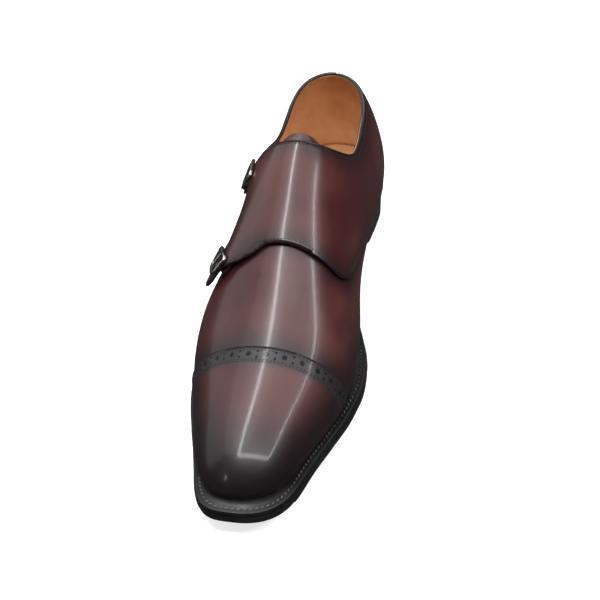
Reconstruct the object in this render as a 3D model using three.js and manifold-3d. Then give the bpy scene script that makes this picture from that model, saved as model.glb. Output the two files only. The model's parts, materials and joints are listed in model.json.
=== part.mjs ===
// A right-foot monk strap shoe: cap toe, two buckled straps on the outer side, stitched leather sole.
// Frame: millimetres, +Z up, origin on the floor under the middle of the heel, toe towards -Y,
// inner (medial) side towards +X, outer (lateral) side with the buckles towards -X.
import * as THREE from 'three';
import { mergeVertices } from 'three/addons/utils/BufferGeometryUtils.js';
import Module from 'manifold-3d';

// ---- driving sizes ----
const lastLength = 287;        // feather line, back of the heel to the toe
const heelOverhang = 32;       // back of the feather line behind the origin
const ballWidth = 83;          // feather line across the ball
const instepDepth = 83;        // feather line to the ridge at the instep
const heelHeight = 24;         // floor to the underside of the sole at the heel
const toeSpring = 10.5;        // floor to the underside of the sole at the toe
const soleThickness = 4.4;
const weltThickness = 3;
const heelReach = 4;           // sole beyond the feather line at the back
const toeReach = 12;           // sole beyond the feather line at the toe
const edgeSetback = 0.4;       // welt edge behind the sole edge
const insoleThickness = 2.4;
const fillerInset = 7;         // inner edge of the welt inside the feather line
const wall = 1.6;              // vamp with its lining
const capStep = 1;             // toe cap above the vamp
const quarterStep = 1;         // quarters above the vamp
const flapThickness = 1.6;
const tongueThickness = 1.8;
const tongueRise = 6;          // tongue above the flap's top edge
const tongueWidth = 54;
const strapWidth = 13.5;
const upperStrapEnd = 11.5;    // strap past the middle of its buckle
const lowerStrapEnd = 14.5;
const strapLift = 2.6;         // straps stand off the quarter where the buckle tabs lie under them
const tabThickness = 2;        // leather tab that carries a buckle
const tabInset = 2;            // tab narrower than its strap
const tabCorner = 2;
const buckleWire = 2.1;
const buckleDepth = 14;        // frame along the strap
const buckleHeight = 2;
const prongWidth = 1.7;
const prongHeight = 1.5;
const heelLength = 67;         // sole's back edge to the breast of the heel
const heelTaper = 1.4;         // heel narrower at the floor
const breastDip = 5;           // hollow of the heel breast
const notch = 5;               // corner cut off on the inner side of the breast
const topLift = 6;             // lowest layer of the heel
const rubberLength = 24;       // rubber part of the lowest layer
const plateLength = 19;        // toe plate at its sides
const plateSpike = 15;         // its point towards the heel
const plateThickness = 1.3;
const screwRadius = 2;
const screwLength = 3.4;
const gap = 0.3;               // clearance between neighbours

const halfBall = ballWidth / 2;
const soleLength = lastLength + heelReach + toeReach;
const soleBack = heelOverhang + heelReach;
const toeY = soleBack - soleLength;
const seatHeight = heelHeight + soleThickness + weltThickness;

const wasm = await Module();
wasm.setup();

// monotone cubic through a table's column
function column(xs, ys) {
  const n = xs.length;
  const h = [], s = [], m = new Array(n).fill(0);
  for (let i = 0; i < n - 1; i++) { h[i] = xs[i + 1] - xs[i]; s[i] = (ys[i + 1] - ys[i]) / h[i]; }
  m[0] = s[0]; m[n - 1] = s[n - 2];
  for (let i = 1; i < n - 1; i++) {
    if (s[i - 1] * s[i] > 0) {
      const a = 2 * h[i] + h[i - 1], b = h[i] + 2 * h[i - 1];
      m[i] = (a + b) / (a / s[i - 1] + b / s[i]);
    }
  }
  return (x) => {
    if (x <= xs[0]) return ys[0];
    if (x >= xs[n - 1]) return ys[n - 1];
    let i = 0;
    while (x > xs[i + 1]) i++;
    const t = (x - xs[i]) / h[i], t2 = t * t, t3 = t2 * t;
    return (2 * t3 - 3 * t2 + 1) * ys[i] + (t3 - 2 * t2 + t) * h[i] * m[i]
      + (3 * t2 - 2 * t3) * ys[i + 1] + (t3 - t2) * h[i] * m[i + 1];
  };
}
function readTable(names, units, rows) {
  const at = rows.map((r) => r[0] * units[0]);
  return Object.fromEntries(names.slice(1).map((name, k) => [name, column(at, rows.map((r) => r[k + 1] * units[k + 1]))]));
}

// Sections of the form, from the back of the heel to the toe. Shares: at of lastLength, widths,
// swells and ridge of half the ball width, depth of instepDepth; square and belly are exponents.
const form = readTable(
  ['at', 'outer', 'inner', 'swellOuter', 'swellInner', 'depth', 'square', 'belly', 'ridge'],
  [lastLength, halfBall, halfBall, halfBall, halfBall, instepDepth, 1, 1, halfBall],
  [
    [0.000, 0.655, 0.578, 0.145, 0.020, 0.919, 2.90, 0.50, 0.00],
    [0.111, 0.690, 0.639, 0.115, 0.106, 0.880, 1.72, 0.50, 0.00],
    [0.216, 0.680, 0.648, 0.140, 0.178, 0.890, 1.62, 0.50, 0.00],
    [0.307, 0.692, 0.655, 0.188, 0.207, 0.975, 1.75, 0.55, 0.00],
    [0.390, 0.713, 0.675, 0.157, 0.195, 1.000, 2.00, 0.65, 0.02],
    [0.488, 0.786, 0.774, 0.135, 0.154, 0.913, 1.95, 0.75, 0.05],
    [0.585, 0.925, 0.920, 0.190, 0.130, 0.765, 1.95, 0.75, 0.07],
    [0.679, 0.959, 0.964, 0.128, 0.125, 0.588, 2.05, 0.75, 0.10],
    [0.774, 0.830, 0.870, 0.060, 0.106, 0.459, 2.20, 0.75, 0.12],
    [0.864, 0.655, 0.700, 0.026, 0.088, 0.358, 2.35, 0.75, 0.12],
    [0.941, 0.475, 0.585, 0.024, 0.075, 0.277, 2.50, 0.75, 0.12],
    [1.000, 0.365, 0.520, 0.022, 0.060, 0.210, 2.60, 0.75, 0.12],
  ]);

// Outline and underside of the sole. Shares: at of the sole's length, outer and inner of half the
// ball width, heelRise of heelHeight, toeRise of toeSpring.
const tread = readTable(
  ['at', 'outer', 'inner', 'heelRise', 'toeRise'],
  [soleLength, halfBall, halfBall, heelHeight, toeSpring],
  [
    [0.000, 0.747, 0.723, 1.000, 0.00],
    [0.112, 0.783, 0.747, 0.985, 0.00],
    [0.224, 0.759, 0.695, 0.930, 0.00],
    [0.330, 0.766, 0.651, 0.708, 0.00],
    [0.429, 0.892, 0.735, 0.318, 0.00],
    [0.512, 1.050, 0.985, 0.104, 0.00],
    [0.580, 1.140, 1.145, 0.024, 0.00],
    [0.644, 1.150, 1.185, 0.000, 0.00],
    [0.709, 1.075, 1.125, 0.000, 0.00],
    [0.792, 0.885, 0.970, 0.000, 0.143],
    [0.858, 0.710, 0.852, 0.000, 0.381],
    [0.924, 0.555, 0.775, 0.000, 0.667],
    [1.000, 0.450, 0.720, 0.000, 1.00],
  ]);

// rounding of heel and toe, in shares of the length
const round = { heel: 0.112, heelPower: 2.2, toe: 0.112, toePower: 2.8 };
function endFactor(a, length, r) {
  const toe = r.toe * length, heel = r.heel * length;
  const t = THREE.MathUtils.clamp(1 - (length - a) / toe, 0, 1);
  const h = THREE.MathUtils.clamp(1 - a / heel, 0, 1);
  return (1 - t ** r.toePower) ** (1 / r.toePower) * (1 - h ** r.heelPower) ** (1 / r.heelPower);
}
function stations(length, r, nHeel, nMiddle, nToe) {
  const toe = r.toe * length, heel = r.heel * length, list = [];
  for (let i = 0; i <= nHeel; i++) list.push(heel * (1 - Math.sin(Math.PI / 2 * (1 - i / nHeel)) ** (2 / r.heelPower)));
  for (let i = 1; i < nMiddle; i++) list.push(heel + (length - toe - heel) * i / nMiddle);
  for (let i = 0; i <= nToe; i++) list.push(length - toe * (1 - Math.sin(Math.PI / 2 * i / nToe) ** (2 / r.toePower)));
  list[0] = 0;
  list[list.length - 1] = length;
  return list;
}
const soleUnder = (y) => tread.heelRise(soleBack - y) + tread.toeRise(soleBack - y);
const soleTop = (y) => soleUnder(y) + soleThickness;
const seat = (y) => soleTop(y) + weltThickness;
const crown = (y) => seat(y) + form.depth(heelOverhang - y);

// the points on the ridge that the columns at heel and toe fan out from
const fan = { toe: 0.216, toeEnd: 0.139, heel: 0.23, heelEnd: 0.167, power: 1.8 };
function ridgeStation(a) {
  const s = a / lastLength;
  const t = THREE.MathUtils.clamp((s - 1 + fan.toe) / fan.toe, 0, 1);
  const h = THREE.MathUtils.clamp(1 - s / fan.heel, 0, 1);
  if (s > 1 - fan.toe) return lastLength * (1 - fan.toe + (fan.toe - fan.toeEnd) * (1 - (1 - t) ** fan.power));
  if (s < fan.heel) return lastLength * (fan.heel - (fan.heel - fan.heelEnd) * (1 - (1 - h) ** fan.power));
  return a;
}
function formPoint(a, side, v) {
  const top = ridgeStation(a), power = form.square(a), angle = v * Math.PI / 2;
  const p = Math.max(Math.cos(angle), 0) ** (2 / power), q = Math.sin(angle) ** (2 / power);
  const foot = new THREE.Vector2(side * (side < 0 ? form.outer(a) : form.inner(a)) * endFactor(a, lastLength, round), heelOverhang - a);
  const ridge = new THREE.Vector2(form.ridge(top), heelOverhang - top);
  // both sides swell alike at the middle of heel and toe
  const mean = (form.swellOuter(a) + form.swellInner(a)) / 2, lean = side * (form.swellInner(a) - form.swellOuter(a)) / 2;
  const swell = (mean + lean * endFactor(a, lastLength, round)) * Math.sin(Math.PI * q ** form.belly(a));
  const out = foot.clone().sub(ridge);
  const point = ridge.clone().addScaledVector(out, p).addScaledVector(out.normalize(), swell);
  const low = seat(foot.y) + gap;
  return new THREE.Vector3(point.x, point.y, low + (crown(point.y) - low) * q);
}

const rows = 10;
const columnsAt = stations(lastLength, round, 6, 21, 7);
// one loop of columns: outer side heel to toe, then inner side toe to heel
const loop = [
  ...columnsAt.map((a) => ({ a, side: -1 })),
  ...columnsAt.slice(1, -1).reverse().map((a) => ({ a, side: 1 })),
];
const grid = loop.map(({ a, side }) => Array.from({ length: rows + 1 }, (_, j) => formPoint(a, side, j / rows)));
const partner = (c) => (loop.length - c) % loop.length;
const gridNormals = (() => {
  const normals = grid.map((col) => col.map(() => new THREE.Vector3()));
  const ab = new THREE.Vector3(), ac = new THREE.Vector3();
  const add = (list) => {
    const [a, b, c] = list.map(([i, j]) => grid[i][j]);
    const n = ab.subVectors(b, a).cross(ac.subVectors(c, a));
    for (const [i, j] of list) normals[i][j].add(n);
  };
  for (let i = 0; i < loop.length; i++) {
    const k = (i + 1) % loop.length;
    for (let j = 0; j < rows; j++) { add([[i, j], [k, j], [k, j + 1]]); add([[i, j], [k, j + 1], [i, j + 1]]); }
  }
  const top = grid.map((_, i) => normals[i][rows].clone().add(normals[partner(i)][rows]));
  normals.forEach((col, i) => { col[rows].copy(i === partner(i) ? col[rows] : top[i]); col[0].z = 0; });
  const flip = normals[Math.floor(loop.length / 4)][1].x > 0 ? -1 : 1;
  normals.forEach((col) => col.forEach((n) => n.normalize().multiplyScalar(flip)));
  return normals;
})();

function solidFrom(positions, triangles) {
  let g = new THREE.BufferGeometry();
  g.setAttribute('position', new THREE.Float32BufferAttribute(positions, 3));
  g.setIndex(triangles);
  return solidOf(g);
}
function solidOf(geometry) {
  const g = geometry.clone();
  for (const name of Object.keys(g.attributes)) if (name !== 'position') g.deleteAttribute(name);
  const merged = mergeVertices(g, 1e-4);
  const index = [];
  const src = merged.index.array;
  for (let i = 0; i < src.length; i += 3) {
    if (src[i] !== src[i + 1] && src[i + 1] !== src[i + 2] && src[i] !== src[i + 2]) index.push(src[i], src[i + 1], src[i + 2]);
  }
  const make = (tri) => new wasm.Manifold(new wasm.Mesh({
    numProp: 3, vertProperties: new Float32Array(merged.attributes.position.array), triVerts: new Uint32Array(tri),
  }));
  const solid = make(index);
  if (solid.volume() > 0) return solid;
  const turned = [];
  for (let i = 0; i < index.length; i += 3) turned.push(index[i], index[i + 2], index[i + 1]);
  return make(turned);
}

// how far the outer side's leather stands off, from the ridge down to the straps
const standOff = (i, j) => {
  const { a, side } = loop[i], s = a / lastLength;
  if (side > 0) return 0;
  const alongFoot = THREE.MathUtils.smoothstep(s, 0.26, 0.34) * (0.5 + 0.5 * THREE.MathUtils.smoothstep(s, 0.4, 0.5)) * (1 - THREE.MathUtils.smoothstep(s, 0.6, 0.66));
  return THREE.MathUtils.smoothstep(0.74 - j / rows, 0, 0.24) * alongFoot;
};
// the closed form at one level outside the last, with a skirt that runs below the sole;
// lift adds the stand-off of the straps
const levels = new Map();
function formSolid(level, lift = 0) {
  const key = `${level} ${lift}`;
  if (levels.has(key)) return levels.get(key);
  const positions = [], triangles = [], depth = -heelHeight;
  const id = (i, j) => (i % loop.length) * (rows + 2) + j;
  for (let i = 0; i < loop.length; i++) {
    const foot = grid[i][0].clone().addScaledVector(gridNormals[i][0], level);
    positions.push(foot.x, foot.y, depth);
    for (let j = 0; j <= rows; j++) {
      const p = grid[i][j].clone().addScaledVector(gridNormals[i][j], level + lift * standOff(i, j));
      positions.push(p.x, p.y, p.z);
    }
  }
  for (let i = 0; i < loop.length; i++) {
    for (let j = 0; j <= rows; j++) {
      triangles.push(id(i, j), id(i + 1, j), id(i + 1, j + 1), id(i, j), id(i + 1, j + 1), id(i, j + 1));
    }
  }
  const outline = loop.map((_, i) => new THREE.Vector2(positions[id(i, 0) * 3], positions[id(i, 0) * 3 + 1]));
  const turned = THREE.ShapeUtils.isClockWise(outline);
  for (const [a, b, c] of THREE.ShapeUtils.triangulateShape(outline, [])) {
    const [p, q, r] = [outline[a], outline[b], outline[c]];
    const ccw = (q.x - p.x) * (r.y - p.y) - (q.y - p.y) * (r.x - p.x) > 0;
    triangles.push(id(a, 0), ...(ccw === turned ? [id(b, 0), id(c, 0)] : [id(c, 0), id(b, 0)]));
  }
  const solid = solidFrom(positions, triangles);
  levels.set(key, solid);
  return solid;
}
const shellBetween = (low, high, lift = 0) => formSolid(high, lift).subtract(formSolid(low, lift));

// regions: an outline seen from the side (y, z) or from above (x, y), run through the shoe
const reach = lastLength;
function sideRegion(points, xFrom = -reach, xTo = reach) {
  const shape = new THREE.Shape(points.map(([y, z]) => new THREE.Vector2(y, z)));
  const g = new THREE.ExtrudeGeometry(shape, { depth: xTo - xFrom, bevelEnabled: false });
  g.applyMatrix4(new THREE.Matrix4().makeBasis(new THREE.Vector3(0, 1, 0), new THREE.Vector3(0, 0, 1), new THREE.Vector3(1, 0, 0)));
  g.translate(xFrom, 0, 0);
  return solidOf(g);
}
function planRegion(shape, zFrom = -reach, zTo = reach) {
  const g = new THREE.ExtrudeGeometry(shape, { depth: zTo - zFrom, bevelEnabled: false, curveSegments: 10 });
  g.translate(0, 0, zFrom);
  return solidOf(g);
}
const smooth = (points, n) => new THREE.SplineCurve(points.map(([u, v]) => new THREE.Vector2(u, v))).getPoints(n).map((p) => [p.x, p.y]);
// a side-view point from shares of the length, back to front, and of the instep's depth above the heel seat
const sidePoint = ([along, up]) => [heelOverhang - along * lastLength, seatHeight + up * instepDepth];
const sideCurve = (points, n) => smooth(points.map(sidePoint), n);
function slab(low, high, n = 34) {
  const from = soleBack + heelReach, to = toeY - toeReach, ys = [];
  for (let i = 0; i <= n; i++) ys.push(from + (to - from) * i / n);
  return sideRegion([...ys.map((y) => [y, low(y)]), ...ys.reverse().map((y) => [y, high(y)])]);
}
const above = (low) => slab(low, () => reach);

// ---- upper ----
const collarBack = [[-0.035, 0.740], [-0.003, 0.724], [0.059, 0.676], [0.129, 0.616], [0.209, 0.586], [0.268, 0.612], [0.307, 0.672]];
const throatLine = [[0.341, 0.722], [0.390, 0.742], [0.477, 0.738], [0.564, 0.785], [0.605, 1.000]];
const flapTopLine = [[0.338, 0.765], [0.362, 0.865], [0.378, 0.965], [0.388, 1.200]];
const seamLine = [[0.150, -0.150], [0.163, 0.010], [0.180, 0.060], [0.216, 0.095], [0.303, 0.150], [0.408, 0.205], [0.502, 0.235], [0.545, 0.262]];
const sky = [[0.8, 2], [-0.1, 2]];

const collarCut = sideRegion([...sideCurve([...collarBack, ...throatLine], 34), ...sky.map(sidePoint)]);
const quarterZone = sideRegion([
  ...sideCurve(seamLine, 20),
  ...[[0.556, 0.36], [0.545, 0.6], [0.53, 1.4], [-0.1, 1.4], [-0.1, -0.15]].map(sidePoint),
]);
const capShare = 0.747, capBow = 0.008;
const capShape = new THREE.Shape();
{
  const at = (k) => heelOverhang - lastLength * (capShare - capBow * k * k);
  capShape.moveTo(-1.6 * halfBall, -2 * lastLength);
  for (let i = -8; i <= 8; i++) capShape.lineTo(1.6 * halfBall * i / 8, at(1.6 * i / 8));
  capShape.lineTo(1.6 * halfBall, -2 * lastLength);
}
const capZone = planRegion(capShape);
const raisedLevel = wall + Math.max(capStep, quarterStep);
const upperSkin = formSolid(wall)
  .add(formSolid(wall + quarterStep).intersect(quarterZone))
  .add(formSolid(wall + capStep).intersect(capZone));
const upper = upperSkin
  .subtract(formSolid(0))
  .subtract(collarCut)
  .intersect(above((y) => seat(y) + gap));

// ---- quarter, flap and straps of the inner side, one piece of leather ----
const flapLow = raisedLevel + gap, flapHigh = flapLow + flapThickness;
const cornerLine = [[0.556, 0.285], [0.567, 0.34], [0.568, 0.45], [0.568, 0.62], [0.568, 1.2]];
const innerZone = sideRegion([
  ...sideCurve([...collarBack, ...flapTopLine], 30),
  ...sideCurve([...seamLine, ...cornerLine], 34).reverse(),
  ...[[-0.035, -0.15]].map(sidePoint),
], form.ridge(lastLength * 0.4));
// each strap: middle of its buckle (share along, share up), lean of the strap and its end past the buckle
const straps = {
  upper: { along: 0.371, up: 0.605, lean: 0.06, end: upperStrapEnd },
  lower: { along: 0.556, up: 0.342, lean: 0.48, end: lowerStrapEnd },
};
const upHeight = (share) => seatHeight + share * instepDepth;
const strapPlace = (s) => new THREE.Vector2(heelOverhang - s.along * lastLength, upHeight(s.up));
function strapRegion(strap) {
  const w = strapWidth / 2, root = strapWidth * 1.6, end = strap.end;
  const outline = [[w, root], ...smooth([[w, -end * 0.45], [w * 0.88, -end * 0.8], [0, -end], [-w * 0.88, -end * 0.8], [-w, -end * 0.45]], 10), [-w, root]];
  const place = strapPlace(strap);
  return sideRegion(outline.map(([x, y]) => {
    const p = new THREE.Vector2(x, y).rotateAround(new THREE.Vector2(), -strap.lean).add(place);
    return [p.x, p.y];
  }), -reach, 0);
}
const flapSide = sideRegion([
  ...sideCurve([...flapTopLine.slice(1).reverse(), [0.352, 0.79], [0.347, 0.70], [0.352, 0.635], [0.375, 0.618],
    [0.404, 0.605], [0.460, 0.525], [0.502, 0.445], [0.527, 0.395], [0.552, 0.350], [0.580, 0.355]], 36),
  ...sideCurve([[0.584, 0.43], [0.579, 0.50], [0.569, 0.56], [0.568, 0.60], [0.568, 1.2]], 12),
], -reach, form.ridge(lastLength * 0.4) + gap);
const outerZone = flapSide.add(strapRegion(straps.upper)).add(strapRegion(straps.lower));
const quarterFlap = shellBetween(flapLow, flapHigh, strapLift)
  .intersect(innerZone.add(outerZone))
  .intersect(above((y) => seat(y) + gap));

// ---- tongue, inside the throat ----
const tongueShape = new THREE.Shape();
{
  const top = heelOverhang - 0.384 * lastLength + tongueRise, low = heelOverhang - 0.60 * lastLength;
  const x = form.ridge(0.45 * lastLength), w = tongueWidth / 2;
  tongueShape.moveTo(x - w * 0.72, low);
  tongueShape.lineTo(x - w, (top + low) / 2);
  tongueShape.lineTo(x - w * 0.94, top - w * 0.3);
  tongueShape.quadraticCurveTo(x - w * 0.85, top, x, top);
  tongueShape.quadraticCurveTo(x + w * 0.85, top, x + w * 0.94, top - w * 0.3);
  tongueShape.lineTo(x + w, (top + low) / 2);
  tongueShape.lineTo(x + w * 0.72, low);
}
const tongue = shellBetween(-gap - tongueThickness, -gap)
  .intersect(planRegion(tongueShape))
  .intersect(sideRegion([[0, 0.45], [0.62, 0.25], [0.62, 2], [0, 2]].map(sidePoint)));

// a ring of points moved outwards by one distance, with mitred corners
function grown(ring, distance) {
  const sign = THREE.ShapeUtils.isClockWise(ring) ? -1 : 1;
  return ring.map((p, i) => {
    const a = ring[(i + ring.length - 1) % ring.length], b = ring[(i + 1) % ring.length];
    const n1 = new THREE.Vector2(p.y - a.y, a.x - p.x).normalize(), n2 = new THREE.Vector2(b.y - p.y, p.x - b.x).normalize();
    const m = n1.clone().add(n2).normalize();
    return p.clone().addScaledVector(m, sign * distance / Math.max(m.dot(n1), 0.4));
  });
}

// ---- sole ----
const soleRing = (() => {
  const list = stations(soleLength, round, 7, 26, 8);
  const at = (a, side) => new THREE.Vector2(side * (side < 0 ? tread.outer(a) : tread.inner(a)) * endFactor(a, soleLength, round), soleBack - a);
  return [...list.map((a) => at(a, -1)), ...list.slice(1, -1).reverse().map((a) => at(a, 1))];
})();
const solePlan = (inset) => planRegion(new THREE.Shape(grown(soleRing, -inset)));

const toeX = (tread.inner(soleLength) - tread.outer(soleLength)) / 2;
const plateY = toeY + plateLength;
const plateRegion = (() => {
  const s = new THREE.Shape(), w = plateLength * 0.8;
  s.moveTo(toeX - 2 * halfBall, toeY - toeReach);
  s.lineTo(toeX - 2 * halfBall, plateY + 1);
  s.lineTo(toeX - w, plateY + 1);
  s.quadraticCurveTo(toeX - w * 0.62, plateY - plateLength * 0.42, toeX - w * 0.22, plateY);
  s.lineTo(toeX - w * 0.03, plateY + plateSpike);
  s.lineTo(toeX + w * 0.03, plateY + plateSpike);
  s.lineTo(toeX + w * 0.22, plateY);
  s.quadraticCurveTo(toeX + w * 0.62, plateY - plateLength * 0.42, toeX + w, plateY + 1);
  s.lineTo(toeX + 2 * halfBall, plateY + 1);
  s.lineTo(toeX + 2 * halfBall, toeY - toeReach);
  return s.getPoints(8);
})();
const plateShape = (grow) => new THREE.Shape(grow ? grown(plateRegion, grow) : plateRegion);
const screwPlaces = [
  [toeX, plateY + plateSpike * 0.12],
  [toeX, toeY + plateLength * 0.36],
  [toeX - plateLength * 0.78, toeY + plateLength * 0.66],
  [toeX + plateLength * 0.78, toeY + plateLength * 0.66],
];
function cylinder([x, y], radius, zFrom, zTo) {
  const g = new THREE.CylinderGeometry(radius, radius, zTo - zFrom, 12);
  g.rotateX(Math.PI / 2);
  g.translate(x, y, (zFrom + zTo) / 2);
  return solidOf(g);
}
const screws = screwPlaces.map((p) => cylinder(p, screwRadius, soleUnder(p[1]) + gap, soleUnder(p[1]) + gap + screwLength));
const screwHoles = screwPlaces.map((p) => cylinder(p, screwRadius + gap, soleUnder(p[1]) - toeSpring, soleUnder(p[1]) + 2 * gap + screwLength));
let toePlate = solePlan(edgeSetback).intersect(planRegion(plateShape(0))).intersect(slab(soleUnder, (y) => soleUnder(y) + plateThickness));
let outsole = solePlan(0).intersect(slab(soleUnder, soleTop))
  .subtract(planRegion(plateShape(gap)).intersect(slab((y) => soleUnder(y) - 1, (y) => soleUnder(y) + plateThickness + gap)));
for (const hole of screwHoles) { toePlate = toePlate.subtract(hole); outsole = outsole.subtract(hole); }

const heelFront = soleBack - heelLength;
const footRing = grid.map((col) => new THREE.Vector2(col[0].x, col[0].y));
const fillerPlan = planRegion(new THREE.Shape(grown(footRing, -fillerInset)));
const weltRing = solePlan(edgeSetback).subtract(fillerPlan).intersect(slab((y) => soleTop(y) + gap, seat));
const weltFront = heelFront - gap / 2, randFront = heelFront + gap / 2;
const block = (yFrom, yTo) => sideRegion([[yFrom, -reach], [yTo, -reach], [yTo, reach], [yFrom, reach]]);
const welt = weltRing.intersect(block(toeY - toeReach, weltFront));
const heelRand = weltRing.intersect(block(randFront, soleBack + heelReach));
const insole = planRegion(new THREE.Shape(grown(footRing, -gap))).intersect(slab((y) => seat(y) + gap, (y) => seat(y) + gap + insoleThickness, 22))
  .add(planRegion(new THREE.Shape(grown(footRing, -fillerInset - gap))).intersect(slab((y) => soleTop(y) + gap, (y) => seat(y) + gap + insoleThickness / 2, 22)));

// ---- heel ----
function heelSolid(zFrom, zTo) {
  const list = stations(soleLength, round, 8, 30, 9).filter((a) => a < heelLength - notch);
  const side = (sign, a) => sign * (sign < 0 ? tread.outer(a) : tread.inner(a)) * endFactor(a, soleLength, round);
  const outline = (z) => {
    const taper = heelTaper * (1 - z / heelHeight) + edgeSetback * 2;
    const fit = (x, y) => {
      const r = Math.hypot(x, Math.max(y, 0));
      return [x * (1 - taper / r), y > 0 ? y * (1 - taper / r) : y];
    };
    const left = list.map((a) => fit(side(-1, a), soleBack - a));
    const right = list.slice(1).reverse().map((a) => fit(side(1, a), soleBack - a));
    const [xl] = fit(side(-1, heelLength), heelFront), [xr] = fit(side(1, heelLength), heelFront);
    const breast = [];
    for (let i = 0; i <= 10; i++) {
      const t = i / 10, x = xl + (xr - notch - xl) * t;
      breast.push([x, heelFront + breastDip * Math.sin(Math.PI * t)]);
    }
    breast.push([xr, heelFront + notch]);
    return [...left, ...breast, ...right];
  };
  const low = outline(zFrom), high = outline(zTo), n = low.length;
  const positions = [...low.flatMap(([x, y]) => [x, y, zFrom]), ...high.flatMap(([x, y]) => [x, y, zTo])];
  const triangles = [];
  for (let i = 0; i < n; i++) {
    const k = (i + 1) % n;
    triangles.push(i, k, n + k, i, n + k, n + i);
  }
  const flat = (ring) => ring.map(([x, y]) => new THREE.Vector2(x, y));
  const turn = THREE.ShapeUtils.isClockWise(flat(low));
  for (const [a, b, c] of THREE.ShapeUtils.triangulateShape(flat(low), [])) {
    const [p, q, r] = [low[a], low[b], low[c]];
    const ccw = (q[0] - p[0]) * (r[1] - p[1]) - (q[1] - p[1]) * (r[0] - p[0]) > 0;
    const face = ccw === turn ? [a, b, c] : [a, c, b];
    triangles.push(...face, n + face[0], n + face[2], n + face[1]);
  }
  return solidFrom(positions, triangles);
}
const rubberEdge = (grow) => {
  const s = new THREE.Shape(), y = soleBack - rubberLength + grow;
  s.moveTo(-2 * halfBall, y - rubberLength * 0.25);
  s.quadraticCurveTo(0, y + rubberLength * 0.25, 2 * halfBall, y - rubberLength * 0.25);
  s.lineTo(2 * halfBall, 3 * soleBack);
  s.lineTo(-2 * halfBall, 3 * soleBack);
  return planRegion(s);
};
const heelStack = heelSolid(topLift + gap, heelHeight * 1.2).intersect(slab(() => -reach, (y) => soleUnder(y) - gap));
const heelTop = heelSolid(0, topLift);
const heelRubber = heelTop.intersect(rubberEdge(gap / 2));
const heelLeather = heelTop.subtract(rubberEdge(-gap / 2));

// ---- buckles: frames and prongs lie on the straps ----
function strapFrame(strap) {
  const place = strapPlace(strap);
  let best = { d: Infinity };
  for (let i = 0; i < columnsAt.length; i++) {
    for (let j = 1; j < rows; j++) {
      const p = grid[i][j], d = Math.hypot(p.y - place.x, p.z - place.y);
      if (d < best.d) best = { d, i, j };
    }
  }
  const normal = gridNormals[best.i][best.j], p = grid[best.i][best.j];
  const x = p.x - ((place.x - p.y) * normal.y + (place.y - p.z) * normal.z) / normal.x;
  const along = new THREE.Vector3(0, -Math.cos(strap.lean), Math.sin(strap.lean));
  along.addScaledVector(normal, -along.dot(normal)).normalize();
  const across = new THREE.Vector3().crossVectors(normal, along);
  return new THREE.Matrix4().makeBasis(along, across, normal).setPosition(x, place.x, place.y);
}
function roundedRect(target, w, h, r) {
  target.moveTo(-w / 2 + r, -h / 2);
  target.lineTo(w / 2 - r, -h / 2);
  target.quadraticCurveTo(w / 2, -h / 2, w / 2, -h / 2 + r);
  target.lineTo(w / 2, h / 2 - r);
  target.quadraticCurveTo(w / 2, h / 2, w / 2 - r, h / 2);
  target.lineTo(-w / 2 + r, h / 2);
  target.quadraticCurveTo(-w / 2, h / 2, -w / 2, h / 2 - r);
  target.lineTo(-w / 2, -h / 2 + r);
  target.quadraticCurveTo(-w / 2, -h / 2, -w / 2 + r, -h / 2);
  return target;
}
function onStrap(shape, matrix, low, height, lift) {
  const half = strapWidth * 1.3;
  const g = new THREE.ExtrudeGeometry(shape, { depth: 2 * half, bevelEnabled: false, curveSegments: 4 });
  g.translate(0, 0, -half);
  g.applyMatrix4(matrix);
  return shellBetween(low, low + height, lift).intersect(solidOf(g));
}
function buckle(strap) {
  const matrix = strapFrame(strap);
  const across = strapWidth + 2 * buckleWire, window = buckleDepth - 2 * buckleWire;
  const ring = roundedRect(new THREE.Shape(), across, buckleDepth, buckleWire);
  ring.holes.push(roundedRect(new THREE.Path(), strapWidth, window, buckleWire * 0.4));
  const bar = roundedRect(new THREE.Shape(), prongWidth, window - 2 * gap, prongWidth * 0.3);
  const tab = roundedRect(new THREE.Shape(), strapWidth - tabInset, buckleDepth, tabCorner);
  return {
    frame: onStrap(ring, matrix, flapHigh + gap, buckleHeight, strapLift),
    prong: onStrap(bar, matrix, flapHigh + gap, prongHeight, strapLift),
    tab: onStrap(tab, matrix, flapLow, tabThickness, 0).intersect(formSolid(flapLow - gap, strapLift)),
  };
}
const upperBuckle = buckle(straps.upper);
const lowerBuckle = buckle(straps.lower);

// ---- the shoe ----
const looks = {
  leather: { color: 0x4a1f22, roughness: 0.32, metalness: 0 },
  tongue: { color: 0x3c1a1d, roughness: 0.45, metalness: 0 },
  edge: { color: 0x17110f, roughness: 0.5, metalness: 0 },
  sole: { color: 0x6d1420, roughness: 0.55, metalness: 0 },
  insole: { color: 0xa9784f, roughness: 0.7, metalness: 0 },
  rubber: { color: 0x141414, roughness: 0.85, metalness: 0 },
  nickel: { color: 0x6f6c6a, roughness: 0.28, metalness: 1 },
  brass: { color: 0xd8b071, roughness: 0.22, metalness: 1 },
};
const shoe = new THREE.Group();
function piece(name, solid, look) {
  const mesh = solid.getMesh();
  const g = new THREE.BufferGeometry();
  g.setAttribute('position', new THREE.BufferAttribute(new Float32Array(mesh.vertProperties), 3));
  g.setIndex(Array.from(mesh.triVerts));
  g.computeVertexNormals();
  const m = new THREE.Mesh(g, new THREE.MeshStandardMaterial(looks[look]));
  m.name = name;
  shoe.add(m);
}
piece('outsole', outsole, 'sole');
piece('welt', welt, 'edge');
piece('heel_rand', heelRand, 'edge');
piece('insole', insole, 'insole');
piece('upper', upper, 'leather');
piece('tongue', tongue, 'tongue');
piece('quarter_flap', quarterFlap, 'leather');
piece('buckle_frame_upper', upperBuckle.frame, 'nickel');
piece('buckle_prong_upper', upperBuckle.prong, 'nickel');
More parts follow.
